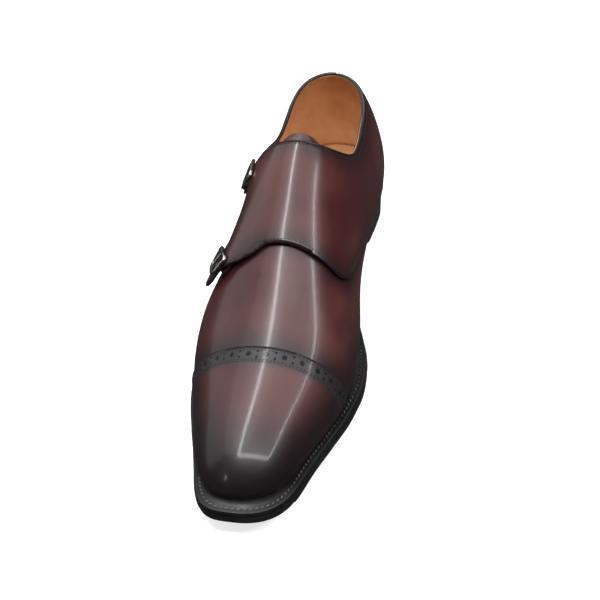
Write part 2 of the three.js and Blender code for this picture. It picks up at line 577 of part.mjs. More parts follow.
piece('buckle_tab_upper', upperBuckle.tab, 'tongue');
piece('buckle_frame_lower', lowerBuckle.frame, 'nickel');
piece('buckle_prong_lower', lowerBuckle.prong, 'nickel');
piece('buckle_tab_lower', lowerBuckle.tab, 'tongue');
piece('heel_stack', heelStack, 'edge');
piece('heel_top_leather', heelLeather, 'sole');
piece('heel_top_rubber', heelRubber, 'rubber');
piece('toe_plate', toePlate, 'brass');
screws.forEach((solid, i) => piece(`toe_screw_${i + 1}`, solid, 'brass'));

export default shoe;
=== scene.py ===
# A right-foot monk strap shoe: glossy calf panels over one last, two buckled straps, a stitched
# welt and a leather sole. Shapes are worked out in millimetres and put in metres at the end.
import json
import math
import bpy
import bmesh
import numpy as np
from mathutils import Matrix, Vector
from mathutils.bvhtree import BVHTree

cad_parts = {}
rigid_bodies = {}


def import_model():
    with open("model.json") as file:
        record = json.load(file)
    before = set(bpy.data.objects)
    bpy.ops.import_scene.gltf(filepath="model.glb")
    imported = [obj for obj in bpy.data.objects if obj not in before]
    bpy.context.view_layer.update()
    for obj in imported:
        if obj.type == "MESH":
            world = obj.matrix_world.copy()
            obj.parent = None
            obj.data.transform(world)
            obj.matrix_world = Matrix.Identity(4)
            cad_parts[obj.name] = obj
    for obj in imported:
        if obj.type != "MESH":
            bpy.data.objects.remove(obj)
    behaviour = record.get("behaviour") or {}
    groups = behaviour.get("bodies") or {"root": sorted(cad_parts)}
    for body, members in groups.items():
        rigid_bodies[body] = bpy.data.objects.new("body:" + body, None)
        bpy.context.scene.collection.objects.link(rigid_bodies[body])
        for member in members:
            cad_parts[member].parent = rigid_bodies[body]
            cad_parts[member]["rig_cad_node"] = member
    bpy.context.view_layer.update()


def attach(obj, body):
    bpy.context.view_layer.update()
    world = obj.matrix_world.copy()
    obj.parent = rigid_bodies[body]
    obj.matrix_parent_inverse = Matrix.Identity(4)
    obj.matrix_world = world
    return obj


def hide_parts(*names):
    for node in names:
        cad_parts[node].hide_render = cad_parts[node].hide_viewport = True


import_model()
print("stage: frame loaded")

# the last and the sole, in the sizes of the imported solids
last = {
    "length": 287, "overhang": 32, "halfBall": 41.5, "depth": 83,
    "heelHeight": 24, "toeSpring": 10.5, "sole": 4.4, "welt": 3, "gap": 0.3,
    "reachBack": 4, "reachToe": 12, "edge": 0.4, "insole": 2.4,
    "toeFan": 0.216, "toeFanEnd": 0.139, "heelFan": 0.23, "heelFanEnd": 0.167,
    "heelRound": 0.112, "heelPower": 2.2, "toeRound": 0.112, "toePower": 2.8,
    "wall": 1.6, "raised": 2.6, "flapLow": 2.9, "flapHigh": 4.5, "strapLift": 2.6,
    "flap": 1.6, "tongue": 1.8, "fanPower": 1.8,
}
lastLength, halfBall = last["length"], last["halfBall"]
soleLength = lastLength + last["reachBack"] + last["reachToe"]
soleBack = last["overhang"] + last["reachBack"]
toeY = soleBack - soleLength
seatHeight = last["heelHeight"] + last["sole"] + last["welt"]

formRows = [  # at, outer, inner, swellOuter, swellInner, depth, square, belly, ridge
    [0.000, 0.655, 0.578, 0.145, 0.020, 0.919, 2.90, 0.50, 0.00],
    [0.111, 0.690, 0.639, 0.115, 0.106, 0.880, 1.72, 0.50, 0.00],
    [0.216, 0.680, 0.648, 0.140, 0.178, 0.890, 1.62, 0.50, 0.00],
    [0.307, 0.692, 0.655, 0.188, 0.207, 0.975, 1.75, 0.55, 0.00],
    [0.390, 0.713, 0.675, 0.157, 0.195, 1.000, 2.00, 0.65, 0.02],
    [0.488, 0.786, 0.774, 0.135, 0.154, 0.913, 1.95, 0.75, 0.05],
    [0.585, 0.925, 0.920, 0.190, 0.130, 0.765, 1.95, 0.75, 0.07],
    [0.679, 0.959, 0.964, 0.128, 0.125, 0.588, 2.05, 0.75, 0.10],
    [0.774, 0.830, 0.870, 0.060, 0.106, 0.459, 2.20, 0.75, 0.12],
    [0.864, 0.655, 0.700, 0.026, 0.088, 0.358, 2.35, 0.75, 0.12],
    [0.941, 0.475, 0.585, 0.024, 0.075, 0.277, 2.50, 0.75, 0.12],
    [1.000, 0.365, 0.520, 0.022, 0.060, 0.210, 2.60, 0.75, 0.12],
]
treadRows = [  # at, outer, inner, heelRise, toeRise
    [0.000, 0.747, 0.723, 1.000, 0.00], [0.112, 0.783, 0.747, 0.985, 0.00],
    [0.224, 0.759, 0.695, 0.930, 0.00], [0.330, 0.766, 0.651, 0.708, 0.00],
    [0.429, 0.892, 0.735, 0.318, 0.00], [0.512, 1.050, 0.985, 0.104, 0.00],
    [0.580, 1.140, 1.145, 0.024, 0.00], [0.644, 1.150, 1.185, 0.000, 0.00],
    [0.709, 1.075, 1.125, 0.000, 0.00], [0.792, 0.885, 0.970, 0.000, 0.143],
    [0.858, 0.710, 0.852, 0.000, 0.381], [0.924, 0.555, 0.775, 0.000, 0.667],
    [1.000, 0.450, 0.720, 0.000, 1.00],
]


def column(xs, ys):
    xs, ys = np.array(xs, float), np.array(ys, float)
    h = np.diff(xs)
    s = np.diff(ys) / h
    m = np.zeros(len(xs))
    m[0], m[-1] = s[0], s[-1]
    for i in range(1, len(xs) - 1):
        if s[i - 1] * s[i] > 0:
            a, b = 2 * h[i] + h[i - 1], h[i] + 2 * h[i - 1]
            m[i] = (a + b) / (a / s[i - 1] + b / s[i])

    def read(x):
        x = np.clip(x, xs[0], xs[-1])
        i = np.clip(np.searchsorted(xs, x, side="right") - 1, 0, len(xs) - 2)
        t = (x - xs[i]) / h[i]
        return ((2 * t**3 - 3 * t**2 + 1) * ys[i] + (t**3 - 2 * t * t + t) * h[i] * m[i]
                + (3 * t * t - 2 * t**3) * ys[i + 1] + (t**3 - t * t) * h[i] * m[i + 1])
    return read


def readTable(names, units, rows):
    at = [r[0] * units[0] for r in rows]
    return {name: column(at, [r[k + 1] * units[k + 1] for r in rows]) for k, name in enumerate(names)}


form = readTable(["outer", "inner", "swellOuter", "swellInner", "depth", "square", "belly", "ridge"],
                 [lastLength] + [halfBall] * 4 + [last["depth"], 1, 1, halfBall], formRows)
tread = readTable(["outer", "inner", "heelRise", "toeRise"],
                  [soleLength, halfBall, halfBall, last["heelHeight"], last["toeSpring"]], treadRows)


def smoothstep(x, low, high):
    t = np.clip((np.asarray(x, float) - low) / (high - low), 0, 1)
    return t * t * (3 - 2 * t)


def endFactor(a, length):
    toe, heel = last["toeRound"] * length, last["heelRound"] * length
    t = np.clip(1 - (length - a) / toe, 0, 1)
    h = np.clip(1 - a / heel, 0, 1)
    tp, hp = last["toePower"], last["heelPower"]
    return np.maximum(1 - t**tp, 0) ** (1 / tp) * np.maximum(1 - h**hp, 0) ** (1 / hp)


def stations(length, nHeel, nMiddle, nToe):
    toe, heel = last["toeRound"] * length, last["heelRound"] * length
    quarter = math.pi / 2
    back = [heel * (1 - math.sin(quarter * (1 - i / nHeel)) ** (2 / last["heelPower"]))
            for i in range(nHeel + 1)]
    middle = [heel + (length - toe - heel) * i / nMiddle for i in range(1, nMiddle)]
    front = [length - toe * (1 - math.sin(quarter * i / nToe) ** (2 / last["toePower"]))
             for i in range(nToe + 1)]
    return np.array([0] + back[1:] + middle + front[:-1] + [length])


def soleUnder(y):
    return tread["heelRise"](soleBack - y) + tread["toeRise"](soleBack - y)


def seat(y):
    return soleUnder(y) + last["sole"] + last["welt"]


def ridgeStation(a):
    s, toeFan, heelFan = a / lastLength, last["toeFan"], last["heelFan"]
    t = min(max((s - 1 + toeFan) / toeFan, 0), 1)
    h = min(max(1 - s / heelFan, 0), 1)
    if s > 1 - toeFan:
        return lastLength * (1 - toeFan + (toeFan - last["toeFanEnd"]) * (1 - (1 - t) ** last["fanPower"]))
    if s < heelFan:
        return lastLength * (heelFan - (heelFan - last["heelFanEnd"]) * (1 - (1 - h) ** last["fanPower"]))
    return a


def formPoint(a, side, v):
    top, power, angle = ridgeStation(a), form["square"](a), v * math.pi / 2
    p, q = max(math.cos(angle), 0) ** (2 / power), math.sin(angle) ** (2 / power)
    width = form["outer"](a) if side < 0 else form["inner"](a)
    foot = np.array([side * width * endFactor(a, lastLength), last["overhang"] - a])
    ridge = np.array([form["ridge"](top), last["overhang"] - top])
    outerSwell, innerSwell = form["swellOuter"](a), form["swellInner"](a)
    swell = (outerSwell + innerSwell) / 2 + side * (innerSwell - outerSwell) / 2 * endFactor(a, lastLength)
    swell *= math.sin(math.pi * q ** form["belly"](a))
    out = foot - ridge
    point = ridge + out * p + out / np.linalg.norm(out) * swell
    low = seat(foot[1]) + last["gap"]
    crown = seat(point[1]) + form["depth"](last["overhang"] - point[1])
    return [point[0], point[1], low + (crown - low) * q]


coarseRows = 10
columnsAt = stations(lastLength, 6, 21, 7)
loop = [(a, -1) for a in columnsAt] + [(a, 1) for a in columnsAt[-2:0:-1]]
coarse = np.array([[formPoint(a, side, j / coarseRows) for j in range(coarseRows + 1)] for a, side in loop])


def opposite(g):
    # for every column the one that meets it on the ridge
    return [(len(g) - i) % len(g) for i in range(len(g))]


def gridNormals(g):
    nextOne = np.roll(g, -1, axis=0)
    a, b, c, d = g[:, :-1], nextOne[:, :-1], nextOne[:, 1:], g[:, 1:]
    first, second = np.cross(b - a, c - a), np.cross(c - a, d - a)
    n, moved = np.zeros_like(g), np.zeros_like(g)
    n[:, :-1] += first + second
    n[:, 1:] += second
    moved[:, :-1] += first
    moved[:, 1:] += first + second
    n += np.roll(moved, 1, axis=0)
    n[:, -1] += n[opposite(g)][:, -1]
    n[:, 0, 2] = 0
    n /= np.linalg.norm(n, axis=2, keepdims=True)
    return n if n[len(g) // 4, 1, 0] < 0 else -n


def throughPoints(points, knots, parts):
    shape = (-1,) + (1,) * (points.ndim - 1)
    h = np.diff(knots).reshape(shape)
    s = np.diff(points, axis=0) / h
    d = np.empty_like(points)
    d[1:-1] = (h[1:] * s[:-1] + h[:-1] * s[1:]) / (h[1:] + h[:-1])
    d[0], d[-1] = s[0], s[-1]
    out = np.empty((len(h) * parts + 1,) + points.shape[1:])
    for k in range(parts):
        t = k / parts
        out[k:-1:parts] = ((2 * t**3 - 3 * t**2 + 1) * points[:-1] + (t**3 - 2 * t * t + t) * h * d[:-1]
                           + (3 * t * t - 2 * t**3) * points[1:] + (t**3 - t * t) * h * d[1:])
    out[-1] = points[-1]
    return out


# the smooth skin of the last: columns round the foot, outer side first, and rows from feather line to ridge
perColumn, perRow = 8, 9
columns, rows = len(loop) * perColumn, coarseRows * perRow


def refined(g, rowKnots, columnKnots):
    whole = np.concatenate([g, g[opposite(g)][:, -2::-1]], axis=1).swapaxes(0, 1)
    tall = throughPoints(whole, rowKnots, perRow)[: rows + 1].swapaxes(0, 1)
    ring = np.concatenate([tall[-2:], tall, tall[:3]])
    return throughPoints(ring, columnKnots, perColumn)[2 * perColumn: 2 * perColumn + columns + 1]


rowSteps = np.linalg.norm(np.diff(coarse, axis=1), axis=2).mean(axis=0)
columnSteps = np.linalg.norm(np.roll(coarse, -1, axis=0) - coarse, axis=2)[:, :6].mean(axis=1)
rowKnots = np.cumsum(np.concatenate([[0], rowSteps, rowSteps[::-1]]))
columnKnots = np.cumsum(np.concatenate([[0], columnSteps[-2:], columnSteps, columnSteps[:2]]))
skin = refined(coarse, rowKnots, columnKnots)


def doubled(m):
    out = np.empty((2 * len(m) - 1,) + m.shape[1:])
    out[::2], out[1::2] = m, (m[:-1] + m[1:]) / 2
    return out


settle = {"radius": 11.0, "window": 3.3, "facing": 40, "fade": (1, 20)}


def settled(g):
    # evens the skin out so that it reflects in one sweep: every point moves onto the quadratic that fits
    # the skin round it best, less and less towards the feather line, and takes its direction from it
    normals, radius = gridNormals(g), settle["radius"]
    cells = np.cross(np.roll(g, -1, axis=0)[:, :-1] - g[:, :-1], g[:, 1:] - g[:, :-1])
    area = np.linalg.norm(cells, axis=2)
    area = np.concatenate([area, area[:, -1:] * 0.5], axis=1)[::4, ::3].ravel()
    places, facing = g[::4, ::3].reshape(-1, 3), normals[::4, ::3].reshape(-1, 3)
    fits = []
    for i in range(0, len(g), 2):
        p = g[i, ::2]
        low, high = p.min(axis=0), p.max(axis=0)
        middle, reach = (high + low) / 2, (high - low) / 2 + settle["window"] * radius
        close = (np.abs(places - middle) < reach).all(axis=1)
        away = places[None, close] - p[:, None]
        far = (away**2).sum(axis=2)
        n = (area[None, close] * np.exp(-far / settle["facing"])) @ facing[close]
        n /= np.linalg.norm(n, axis=1, keepdims=True)
        s = np.cross(n, [0.3, 1.0, 0.2])
        s /= np.linalg.norm(s, axis=1, keepdims=True)
        t = np.cross(n, s)
        x, y, h = [np.einsum("akc,ac->ak", away, axis) / radius for axis in (s, t, n)]
        weight = area[None, close] * np.exp(-0.5 * far / radius**2) * (facing[close] @ n.T > 0.2).T
        terms = np.stack([np.ones_like(x), x, y, x * x, x * y, y * y], axis=2)
        left = np.einsum("ak,aki,akj->aij", weight, terms, terms) + np.eye(6) * 1e-6
        right = np.einsum("ak,aki,ak->ai", weight, terms, h)
        c = np.linalg.solve(left, right[..., None])[:, :, 0]
        fits.append(np.concatenate([n * c[:, :1] * radius, n - s * c[:, 1:2] - t * c[:, 2:3]], axis=1))
    fits = doubled(doubled(np.array(fits + fits[:1])).swapaxes(0, 1)).swapaxes(0, 1)[:-1]
    fade = smoothstep(np.arange(rows + 1), *settle["fade"])[:, None]
    turned = fits[..., 3:] / np.linalg.norm(fits[..., 3:], axis=2, keepdims=True)
    turned = normals * (1 - fade) + turned * fade
    return g + fits[..., :3] * fade, turned / np.linalg.norm(turned, axis=2, keepdims=True)


def joined(g):
    # both sides share the ridge, and the loop closes at the heel
    g = g.copy()
    g[:, -1] = (g[:, -1] + g[opposite(g), -1]) / 2
    return np.concatenate([g, g[:1]])


first = skin[:-1]
skin, skinNormal = settled(joined(settled(first)[0])[:-1])
print("stage: skin settled by at most", round(float(np.linalg.norm(skin - first, axis=2).max()), 2), "mm")
skin, skinNormal = joined(skin), joined(skinNormal)
alongAt = np.interp(np.arange(columns + 1) / perColumn, np.arange(len(loop) + 1),
                    [a for a, _ in loop] + [0])


def levelAt(level, uv):
    # a level above the last is a number, one number per point, or a function of the points
    return np.array(np.broadcast_to(level(uv) if callable(level) else level, len(uv)), float)


def onSkin(uv, level=0.0):
    i = np.clip(uv[:, 0].astype(int), 0, columns - 1)
    j = np.clip(uv[:, 1].astype(int), 0, rows - 1)
    s, t = (uv[:, 0] - i)[:, None], (uv[:, 1] - j)[:, None]

    def read(g):
        return ((1 - s) * (1 - t) * g[i, j] + s * (1 - t) * g[i + 1, j]
                + (1 - s) * t * g[i, j + 1] + s * t * g[i + 1, j + 1])
    n = read(skinNormal)
    n /= np.linalg.norm(n, axis=1, keepdims=True)
    return read(skin) + n * levelAt(level, uv)[:, None], n


def share(uv):
    return np.interp(uv[:, 0], np.arange(columns + 1), alongAt) / lastLength


def standOff(uv):
    # how far the straps stand off the instep on the outer side, as a share
    s = share(uv)
    fromHeel = smoothstep(s, 0.26, 0.34) * (0.5 + 0.5 * smoothstep(s, 0.4, 0.5))
    alongFoot = fromHeel * (1 - smoothstep(s, 0.6, 0.66))
    return np.where(uv[:, 0] < columns / 2, smoothstep(0.74 - uv[:, 1] / rows, 0, 0.24) * alongFoot, 0)


# lines of the panels, seen from the side: shares along the last and up the instep
collarBack = [[-0.035, 0.740], [-0.003, 0.724], [0.059, 0.676], [0.129, 0.616], [0.209, 0.586],
              [0.268, 0.612], [0.307, 0.672]]
throatLine = [[0.341, 0.722], [0.390, 0.742], [0.477, 0.738], [0.564, 0.785], [0.605, 1.000]]
flapTopLine = [[0.338, 0.765], [0.362, 0.865], [0.378, 0.965], [0.388, 1.200]]
seamLine = [[0.150, -0.150], [0.163, 0.010], [0.180, 0.060], [0.216, 0.095], [0.303, 0.150],
            [0.408, 0.205], [0.502, 0.235], [0.545, 0.262]]
cornerLine = [[0.556, 0.285], [0.567, 0.34], [0.568, 0.45], [0.568, 0.62], [0.568, 1.2]]
flapBackLine = [[0.352, 0.79], [0.347, 0.70], [0.352, 0.635], [0.375, 0.618], [0.404, 0.605], [0.460, 0.525],
                [0.502, 0.445], [0.527, 0.395], [0.552, 0.350], [0.580, 0.355]]
flapFrontLine = [[0.584, 0.43], [0.579, 0.50], [0.569, 0.56], [0.568, 0.60], [0.568, 1.2]]
sky = [[0.8, 2], [-0.1, 2]]
quarterClose = [[0.556, 0.36], [0.545, 0.6], [0.53, 1.4], [-0.1, 1.4], [-0.1, -0.15]]
heelLow = [[-0.035, -0.15]]
straps = {
    "Upper": {"along": 0.371, "up": 0.605, "lean": 0.06, "end": 11.5, "width": 13.5},
    "Lower": {"along": 0.556, "up": 0.342, "lean": 0.48, "end": 14.5, "width": 13.5},
}


def smoothLine(points, count):
    p = np.array(points, float)
    out = []
    for k in range(count + 1):
        t = (len(p) - 1) * k / count
        i = min(int(t), len(p) - 2)
        w = t - i
        p0, p1, p2, p3 = p[max(i - 1, 0)], p[i], p[i + 1], p[min(i + 2, len(p) - 1)]
        v0, v1 = (p2 - p0) / 2, (p3 - p1) / 2
        out.append((2 * p1 - 2 * p2 + v0 + v1) * w**3 + (-3 * p1 + 3 * p2 - 2 * v0 - v1) * w * w
                   + v0 * w + p1)
    return np.array(out)


def sideLine(points, count=60):
    line = smoothLine(points, count) if count else np.array(points, float)
    along, up = last["overhang"] - line[:, 0] * lastLength, seatHeight + line[:, 1] * last["depth"]
    return np.stack([along, up], axis=1)


def inside(points, ring):
    # distance to the ring, above zero inside it
    out = np.empty(len(points))
    a, e = ring, np.roll(ring, -1, axis=0) - ring
    long = np.maximum((e * e).sum(axis=1), 1e-12)
    for k in range(0, len(points), 6000):
        p = points[k:k + 6000, None]
        w = p - a
        t = np.clip((w * e).sum(axis=2) / long, 0, 1)
        d = np.sqrt(((w - t[..., None] * e) ** 2).sum(axis=2)).min(axis=1)
        over = (a[:, 1] > p[..., 1]) != (a[:, 1] + e[:, 1] > p[..., 1])
        dy = np.where(np.abs(e[:, 1]) < 1e-12, 1e-12, e[:, 1])
        hit = over & (p[..., 0] < a[:, 0] + e[:, 0] * (p[..., 1] - a[:, 1]) / dy)
        out[k:k + 6000] = np.where(hit.sum(axis=1) % 2 == 1, d, -d)
    return out


collarRing = np.concatenate([sideLine(collarBack + throatLine, 90), sideLine(sky, 0)])
quarterRing = np.concatenate([sideLine(seamLine), sideLine(quarterClose, 0)])
innerRing = np.concatenate([sideLine(collarBack + flapTopLine, 80),
                            sideLine(seamLine + cornerLine, 90)[::-1], sideLine(heelLow, 0)])
outerRing = np.concatenate([sideLine(flapTopLine[1:][::-1] + flapBackLine, 90), sideLine(flapFrontLine, 30)])


def strapPoint(strap, local):
    c, s = math.cos(strap["lean"]), math.sin(strap["lean"])
    x, y = np.array(local, float).T
    place = sideLine([[strap["along"], strap["up"]]], 0)[0]
    return np.stack([x * c + y * s, -x * s + y * c], axis=1) + place


def strapRing(strap):
    w, root, end = strap["width"] / 2, strap["width"] * 1.6, strap["end"]
    tip = smoothLine([[w, -end * 0.45], [w * 0.88, -end * 0.8], [0, -end],
                      [-w * 0.88, -end * 0.8], [-w, -end * 0.45]], 24)
    return strapPoint(strap, np.concatenate([[[w, root]], tip, [[-w, root]]]))


def capInside(points):
    k = points[:, 0] / halfBall
    return last["overhang"] - lastLength * (0.747 - 0.008 * k * k) - points[:, 1]


def flapInside(points, outer):
    side = points[:, 1:]
    out = np.empty(len(points))
    rings = [outerRing] + [strapRing(strap) for strap in straps.values()]
    out[outer] = np.maximum.reduce([inside(side[outer], ring) for ring in rings])
    out[~outer] = inside(side[~outer], innerRing)
    return out


def placed(name, data):
    made = bpy.data.objects.new(name, data)
    bpy.context.scene.collection.objects.link(made)
    return made


def meshPiece(name, bm, materials, smooth=False):
    mesh = bpy.data.meshes.new(name)
    bm.to_mesh(mesh)
    bm.free()
    for material in materials:
        mesh.materials.append(material)
    for polygon in mesh.polygons:
        polygon.use_smooth = smooth
    return placed(name, mesh)


def finishMesh(name, bm, materials, nodes, solid=None, bevel=None, smooth=True):
    bmesh.ops.scale(bm, vec=(0.001,) * 3, verts=bm.verts)
    piece = meshPiece(name, bm, materials, smooth)
    if solid:
        wall = piece.modifiers.new("wall", "SOLIDIFY")
        wall.thickness, wall.offset, wall.use_even_offset = solid * 0.001, -1, False
        wall.material_offset_rim = 1 if len(materials) > 1 else 0
    if bevel:
        edge = piece.modifiers.new("edge", "BEVEL")
        edge.width, edge.segments, edge.harden_normals = bevel * 0.001, 2, True
        edge.limit_method, edge.angle_limit = "ANGLE", math.radians(40)
    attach(piece, "root")
    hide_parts(*nodes)


def raisedVerts(bm):
    # a second layer of the flat faces, joined to the first by walls
    made = bmesh.ops.extrude_face_region(bm, geom=bm.faces[:])
    return [v for v in made["geom"] if isinstance(v, bmesh.types.BMVert)]


def skinSheet(field, level, uRange=(0, columns), step=1, extra=None):
    # a piece of the skin: a flat grid whose vertices near the outline slide onto it, laid on the last
    bm = bmesh.new()
    u0, u1 = uRange
    bmesh.ops.create_grid(bm, x_segments=(u1 - u0) // step, y_segments=rows // step, size=0.5)
    uv = np.array([[v.co.x, v.co.y] for v in bm.verts]) + 0.5
    uv = np.stack([u0 + uv[:, 0] * (u1 - u0), uv[:, 1] * rows], axis=1)
    uv[:, 1] = np.clip(uv[:, 1], 0, rows)
    levels = levelAt(level, uv)
    f = field(onSkin(uv, levels)[0], uv)
    bm.verts.ensure_lookup_table()
    ends = np.array([[e.verts[0].index, e.verts[1].index] for e in bm.edges])
    cut = f[ends[:, 0]] * f[ends[:, 1]] < 0
    a, b = ends[cut].T
    t = f[a] / (f[a] - f[b])

    def onLine(i, j):  # points on the ridge or the back seam only slide along it
        ridge = (np.abs(uv[i, 1] - rows) < 1e-6) & (np.abs(uv[j, 1] - rows) > 1e-6)
        back = ((uv[i, 0] < 1e-6) | (uv[i, 0] > columns - 1e-6)) & (np.abs(uv[i, 0] - uv[j, 0]) > 1e-6)
        return ~(ridge | back)
    nearA = np.where(onLine(a, b) & onLine(b, a), t < 0.5, onLine(a, b))
    moving, other, far = np.where(nearA, a, b), np.where(nearA, b, a), np.where(nearA, t, 1 - t)
    order = np.argsort(-far)
    moving, other = moving[order], other[order]
    target = dict(zip(moving.tolist(), other.tolist()))
    near = np.array(list(target), int)
    if len(near):
        lo, hi = uv[near].copy(), uv[np.array([target[i] for i in near])].copy()
        sign = np.sign(f[near])
        for _ in range(12):
            mid = (lo + hi) / 2
            same = np.sign(field(onSkin(mid, level)[0], mid)) == sign
            lo[same], hi[~same] = mid[same], mid[~same]
        uv[near] = (lo + hi) / 2
        levels[near] = levelAt(level, uv[near])
        f[near] = 0
    for face in list(bm.faces):
        v = face.verts
        g = [f[x.index] for x in v]
        if len(v) == 4 and min(g) < 0 < max(g):
            zero = [k for k in range(4) if g[k] == 0]
            if len(zero) == 2 and zero[1] - zero[0] == 2:
                bmesh.utils.face_split(face, v[zero[0]], v[zero[1]])
    gone = [face for face in bm.faces if sum(f[v.index] for v in face.verts) <= 0]
    places = onSkin(uv, levels)[0]
    values = {"fromEdge": np.maximum(f, 0)}
    values.update({name: make(places, uv) for name, make in (extra or {}).items()})
    layers = {name: bm.verts.layers.float.new(name) for name in values}
    for v in bm.verts:
        v.co = places[v.index]
        for name, layer in layers.items():
            v[layer] = values[name][v.index]
    bmesh.ops.delete(bm, geom=gone, context="FACES")
    bmesh.ops.remove_doubles(bm, verts=bm.verts, dist=0.02)
    bm.normal_update()
    middle = Vector((0, -100, 60))
    turned = sum(1 if f.normal.dot(f.calc_center_median() - middle) > 0 else -1 for f in bm.faces)
    if turned < 0:
        bmesh.ops.reverse_faces(bm, faces=bm.faces)
    return bm


def traced(field, values, level):
    # the lines on which the field has each value, as chains of flat points
    uu, vv = np.meshgrid(np.arange(columns + 1), np.arange(rows + 1), indexing="ij")
    uv = np.stack([uu.ravel(), vv.ravel()], axis=1).astype(float)
    whole = field(onSkin(uv, level)[0], uv).reshape(columns + 1, rows + 1)
    return [chain for value in values for chain in chained(whole - value)]


def chained(f):
    f[f == 0] = 1e-9
    links = {}
    signs = np.sign(f)
    cells = np.argwhere(np.abs(signs[:-1, :-1] + signs[1:, :-1] + signs[:-1, 1:] + signs[1:, 1:]) < 4)
    for i, j in cells.tolist():
        ring = [(i, j), (i + 1, j), (i + 1, j + 1), (i, j + 1)]
        hits = []
        for k in range(4):
            p, q = ring[k], ring[(k + 1) % 4]
            if f[p] * f[q] < 0:
                hits.append(tuple(sorted([p, q])))
        for k in range(0, len(hits) - 1, 2):
            links.setdefault(hits[k], []).append(hits[k + 1])
            links.setdefault(hits[k + 1], []).append(hits[k])
    chains = []
    while links:
        start = next((k for k in links if len(links[k]) == 1), next(iter(links)))
        chain = [start]
        while True:
            ahead = links.get(chain[-1], [])
            if not ahead:
                links.pop(chain[-1], None)
                break
            step = ahead[0]
            links[chain[-1]].remove(step)
            links[step].remove(chain[-1])
            if not links[chain[-1]]:
                links.pop(chain[-1])
            chain.append(step)
            if step == start:
                break
        points = []
        for p, q in chain:
            t = f[p] / (f[p] - f[q])
            points.append([p[0] + (q[0] - p[0]) * t, p[1] + (q[1] - p[1]) * t])
        chains.append(np.array(points))
    return [c for c in chains if len(c) > 4]


def evenly(points, normals, pitch):
    steps = np.linalg.norm(np.diff(points, axis=0), axis=1)
    at = np.concatenate([[0], np.cumsum(steps)])
    count = max(int(at[-1] / pitch), 1)
    s = (np.arange(count) + 0.5) * at[-1] / count

    def read(where, values):
        return np.stack([np.interp(where, at, values[:, k]) for k in range(3)], axis=1)
    along = read(s + pitch * 0.3, points) - read(s - pitch * 0.3, points)
    return read(s, points), along, read(s, normals)


def addStitches(bm, points, normals, pitch, size, lift=0.0, turn=0.0):
    for place, along, normal in zip(*evenly(points, normals, pitch)):
        x = Vector(along).normalized()
        z = Vector(normal)
        z = (z - x * z.dot(x)).normalized()
        y = z.cross(x)
        matrix = Matrix((x, y, z)).transposed().to_4x4()
        matrix = matrix @ Matrix.Rotation(turn, 4, "Z") @ Matrix.Diagonal((*size, 1))
        matrix.translation = Vector(place) + z * lift
        bmesh.ops.create_uvsphere(bm, u_segments=6, v_segments=4, radius=0.5, matrix=matrix)


def sweep(bm, centres, normals, halfWide, halfHigh, closed=True, sections=12, square=2.6):
    # a wire or bead along the points: a grid rolled into a tube
    n = len(centres)
    around = n if closed else n - 1
    if closed:
        ahead, behind = np.roll(centres, -1, axis=0), np.roll(centres, 1, axis=0)
    else:
        ahead, behind = np.vstack([centres[1:], centres[-1:]]), np.vstack([centres[:1], centres[:-1]])
    t = ahead - behind
    t /= np.linalg.norm(t, axis=1, keepdims=True)
    z = normals - t * (normals * t).sum(axis=1, keepdims=True)
    z /= np.linalg.norm(z, axis=1, keepdims=True)
    y = np.cross(z, t)
    made = bmesh.ops.create_grid(bm, x_segments=around, y_segments=sections, size=0.5)["verts"]
    for v in made:
        i = int(round((v.co.x + 0.5) * around)) % n
        angle = 2 * math.pi * (int(round((v.co.y + 0.5) * sections)) % sections) / sections
        c, s = math.cos(angle), math.sin(angle)
        wide = halfWide * math.copysign(abs(c) ** (2 / square), c)
        high = halfHigh * math.copysign(abs(s) ** (2 / square), s)
        v.co = Vector(centres[i] + y[i] * wide + z[i] * high)
    bmesh.ops.remove_doubles(bm, verts=made, dist=0.001)
    if not closed:
        bmesh.ops.holes_fill(bm, edges=[e for e in bm.edges if e.is_boundary], sides=sections)
    bmesh.ops.recalc_face_normals(bm, faces=bm.faces)


class Wire:
    # a shader socket that can stand in a Python expression
    def __init__(self, look, socket):
        self.look, self.socket = look, socket

    def maths(self, operation, first, second):
        return self.look.node("ShaderNodeMath", {"operation": operation}, {0: first, 1: second})

    def __add__(self, other):
        return self.maths("ADD", self, other)

    def __sub__(self, other):
        return self.maths("SUBTRACT", self, other)

    def __rsub__(self, other):
        return self.maths("SUBTRACT", other, self)

    def __mul__(self, other):
        return self.maths("MULTIPLY", self, other)

    def __pow__(self, other):
        return self.maths("POWER", self, other)

    def mod(self, other):
        return self.maths("FLOORED_MODULO", self, other)

    def atLeast(self, other):
        return self.maths("MAXIMUM", self, other)

    __radd__, __rmul__ = __add__, __mul__


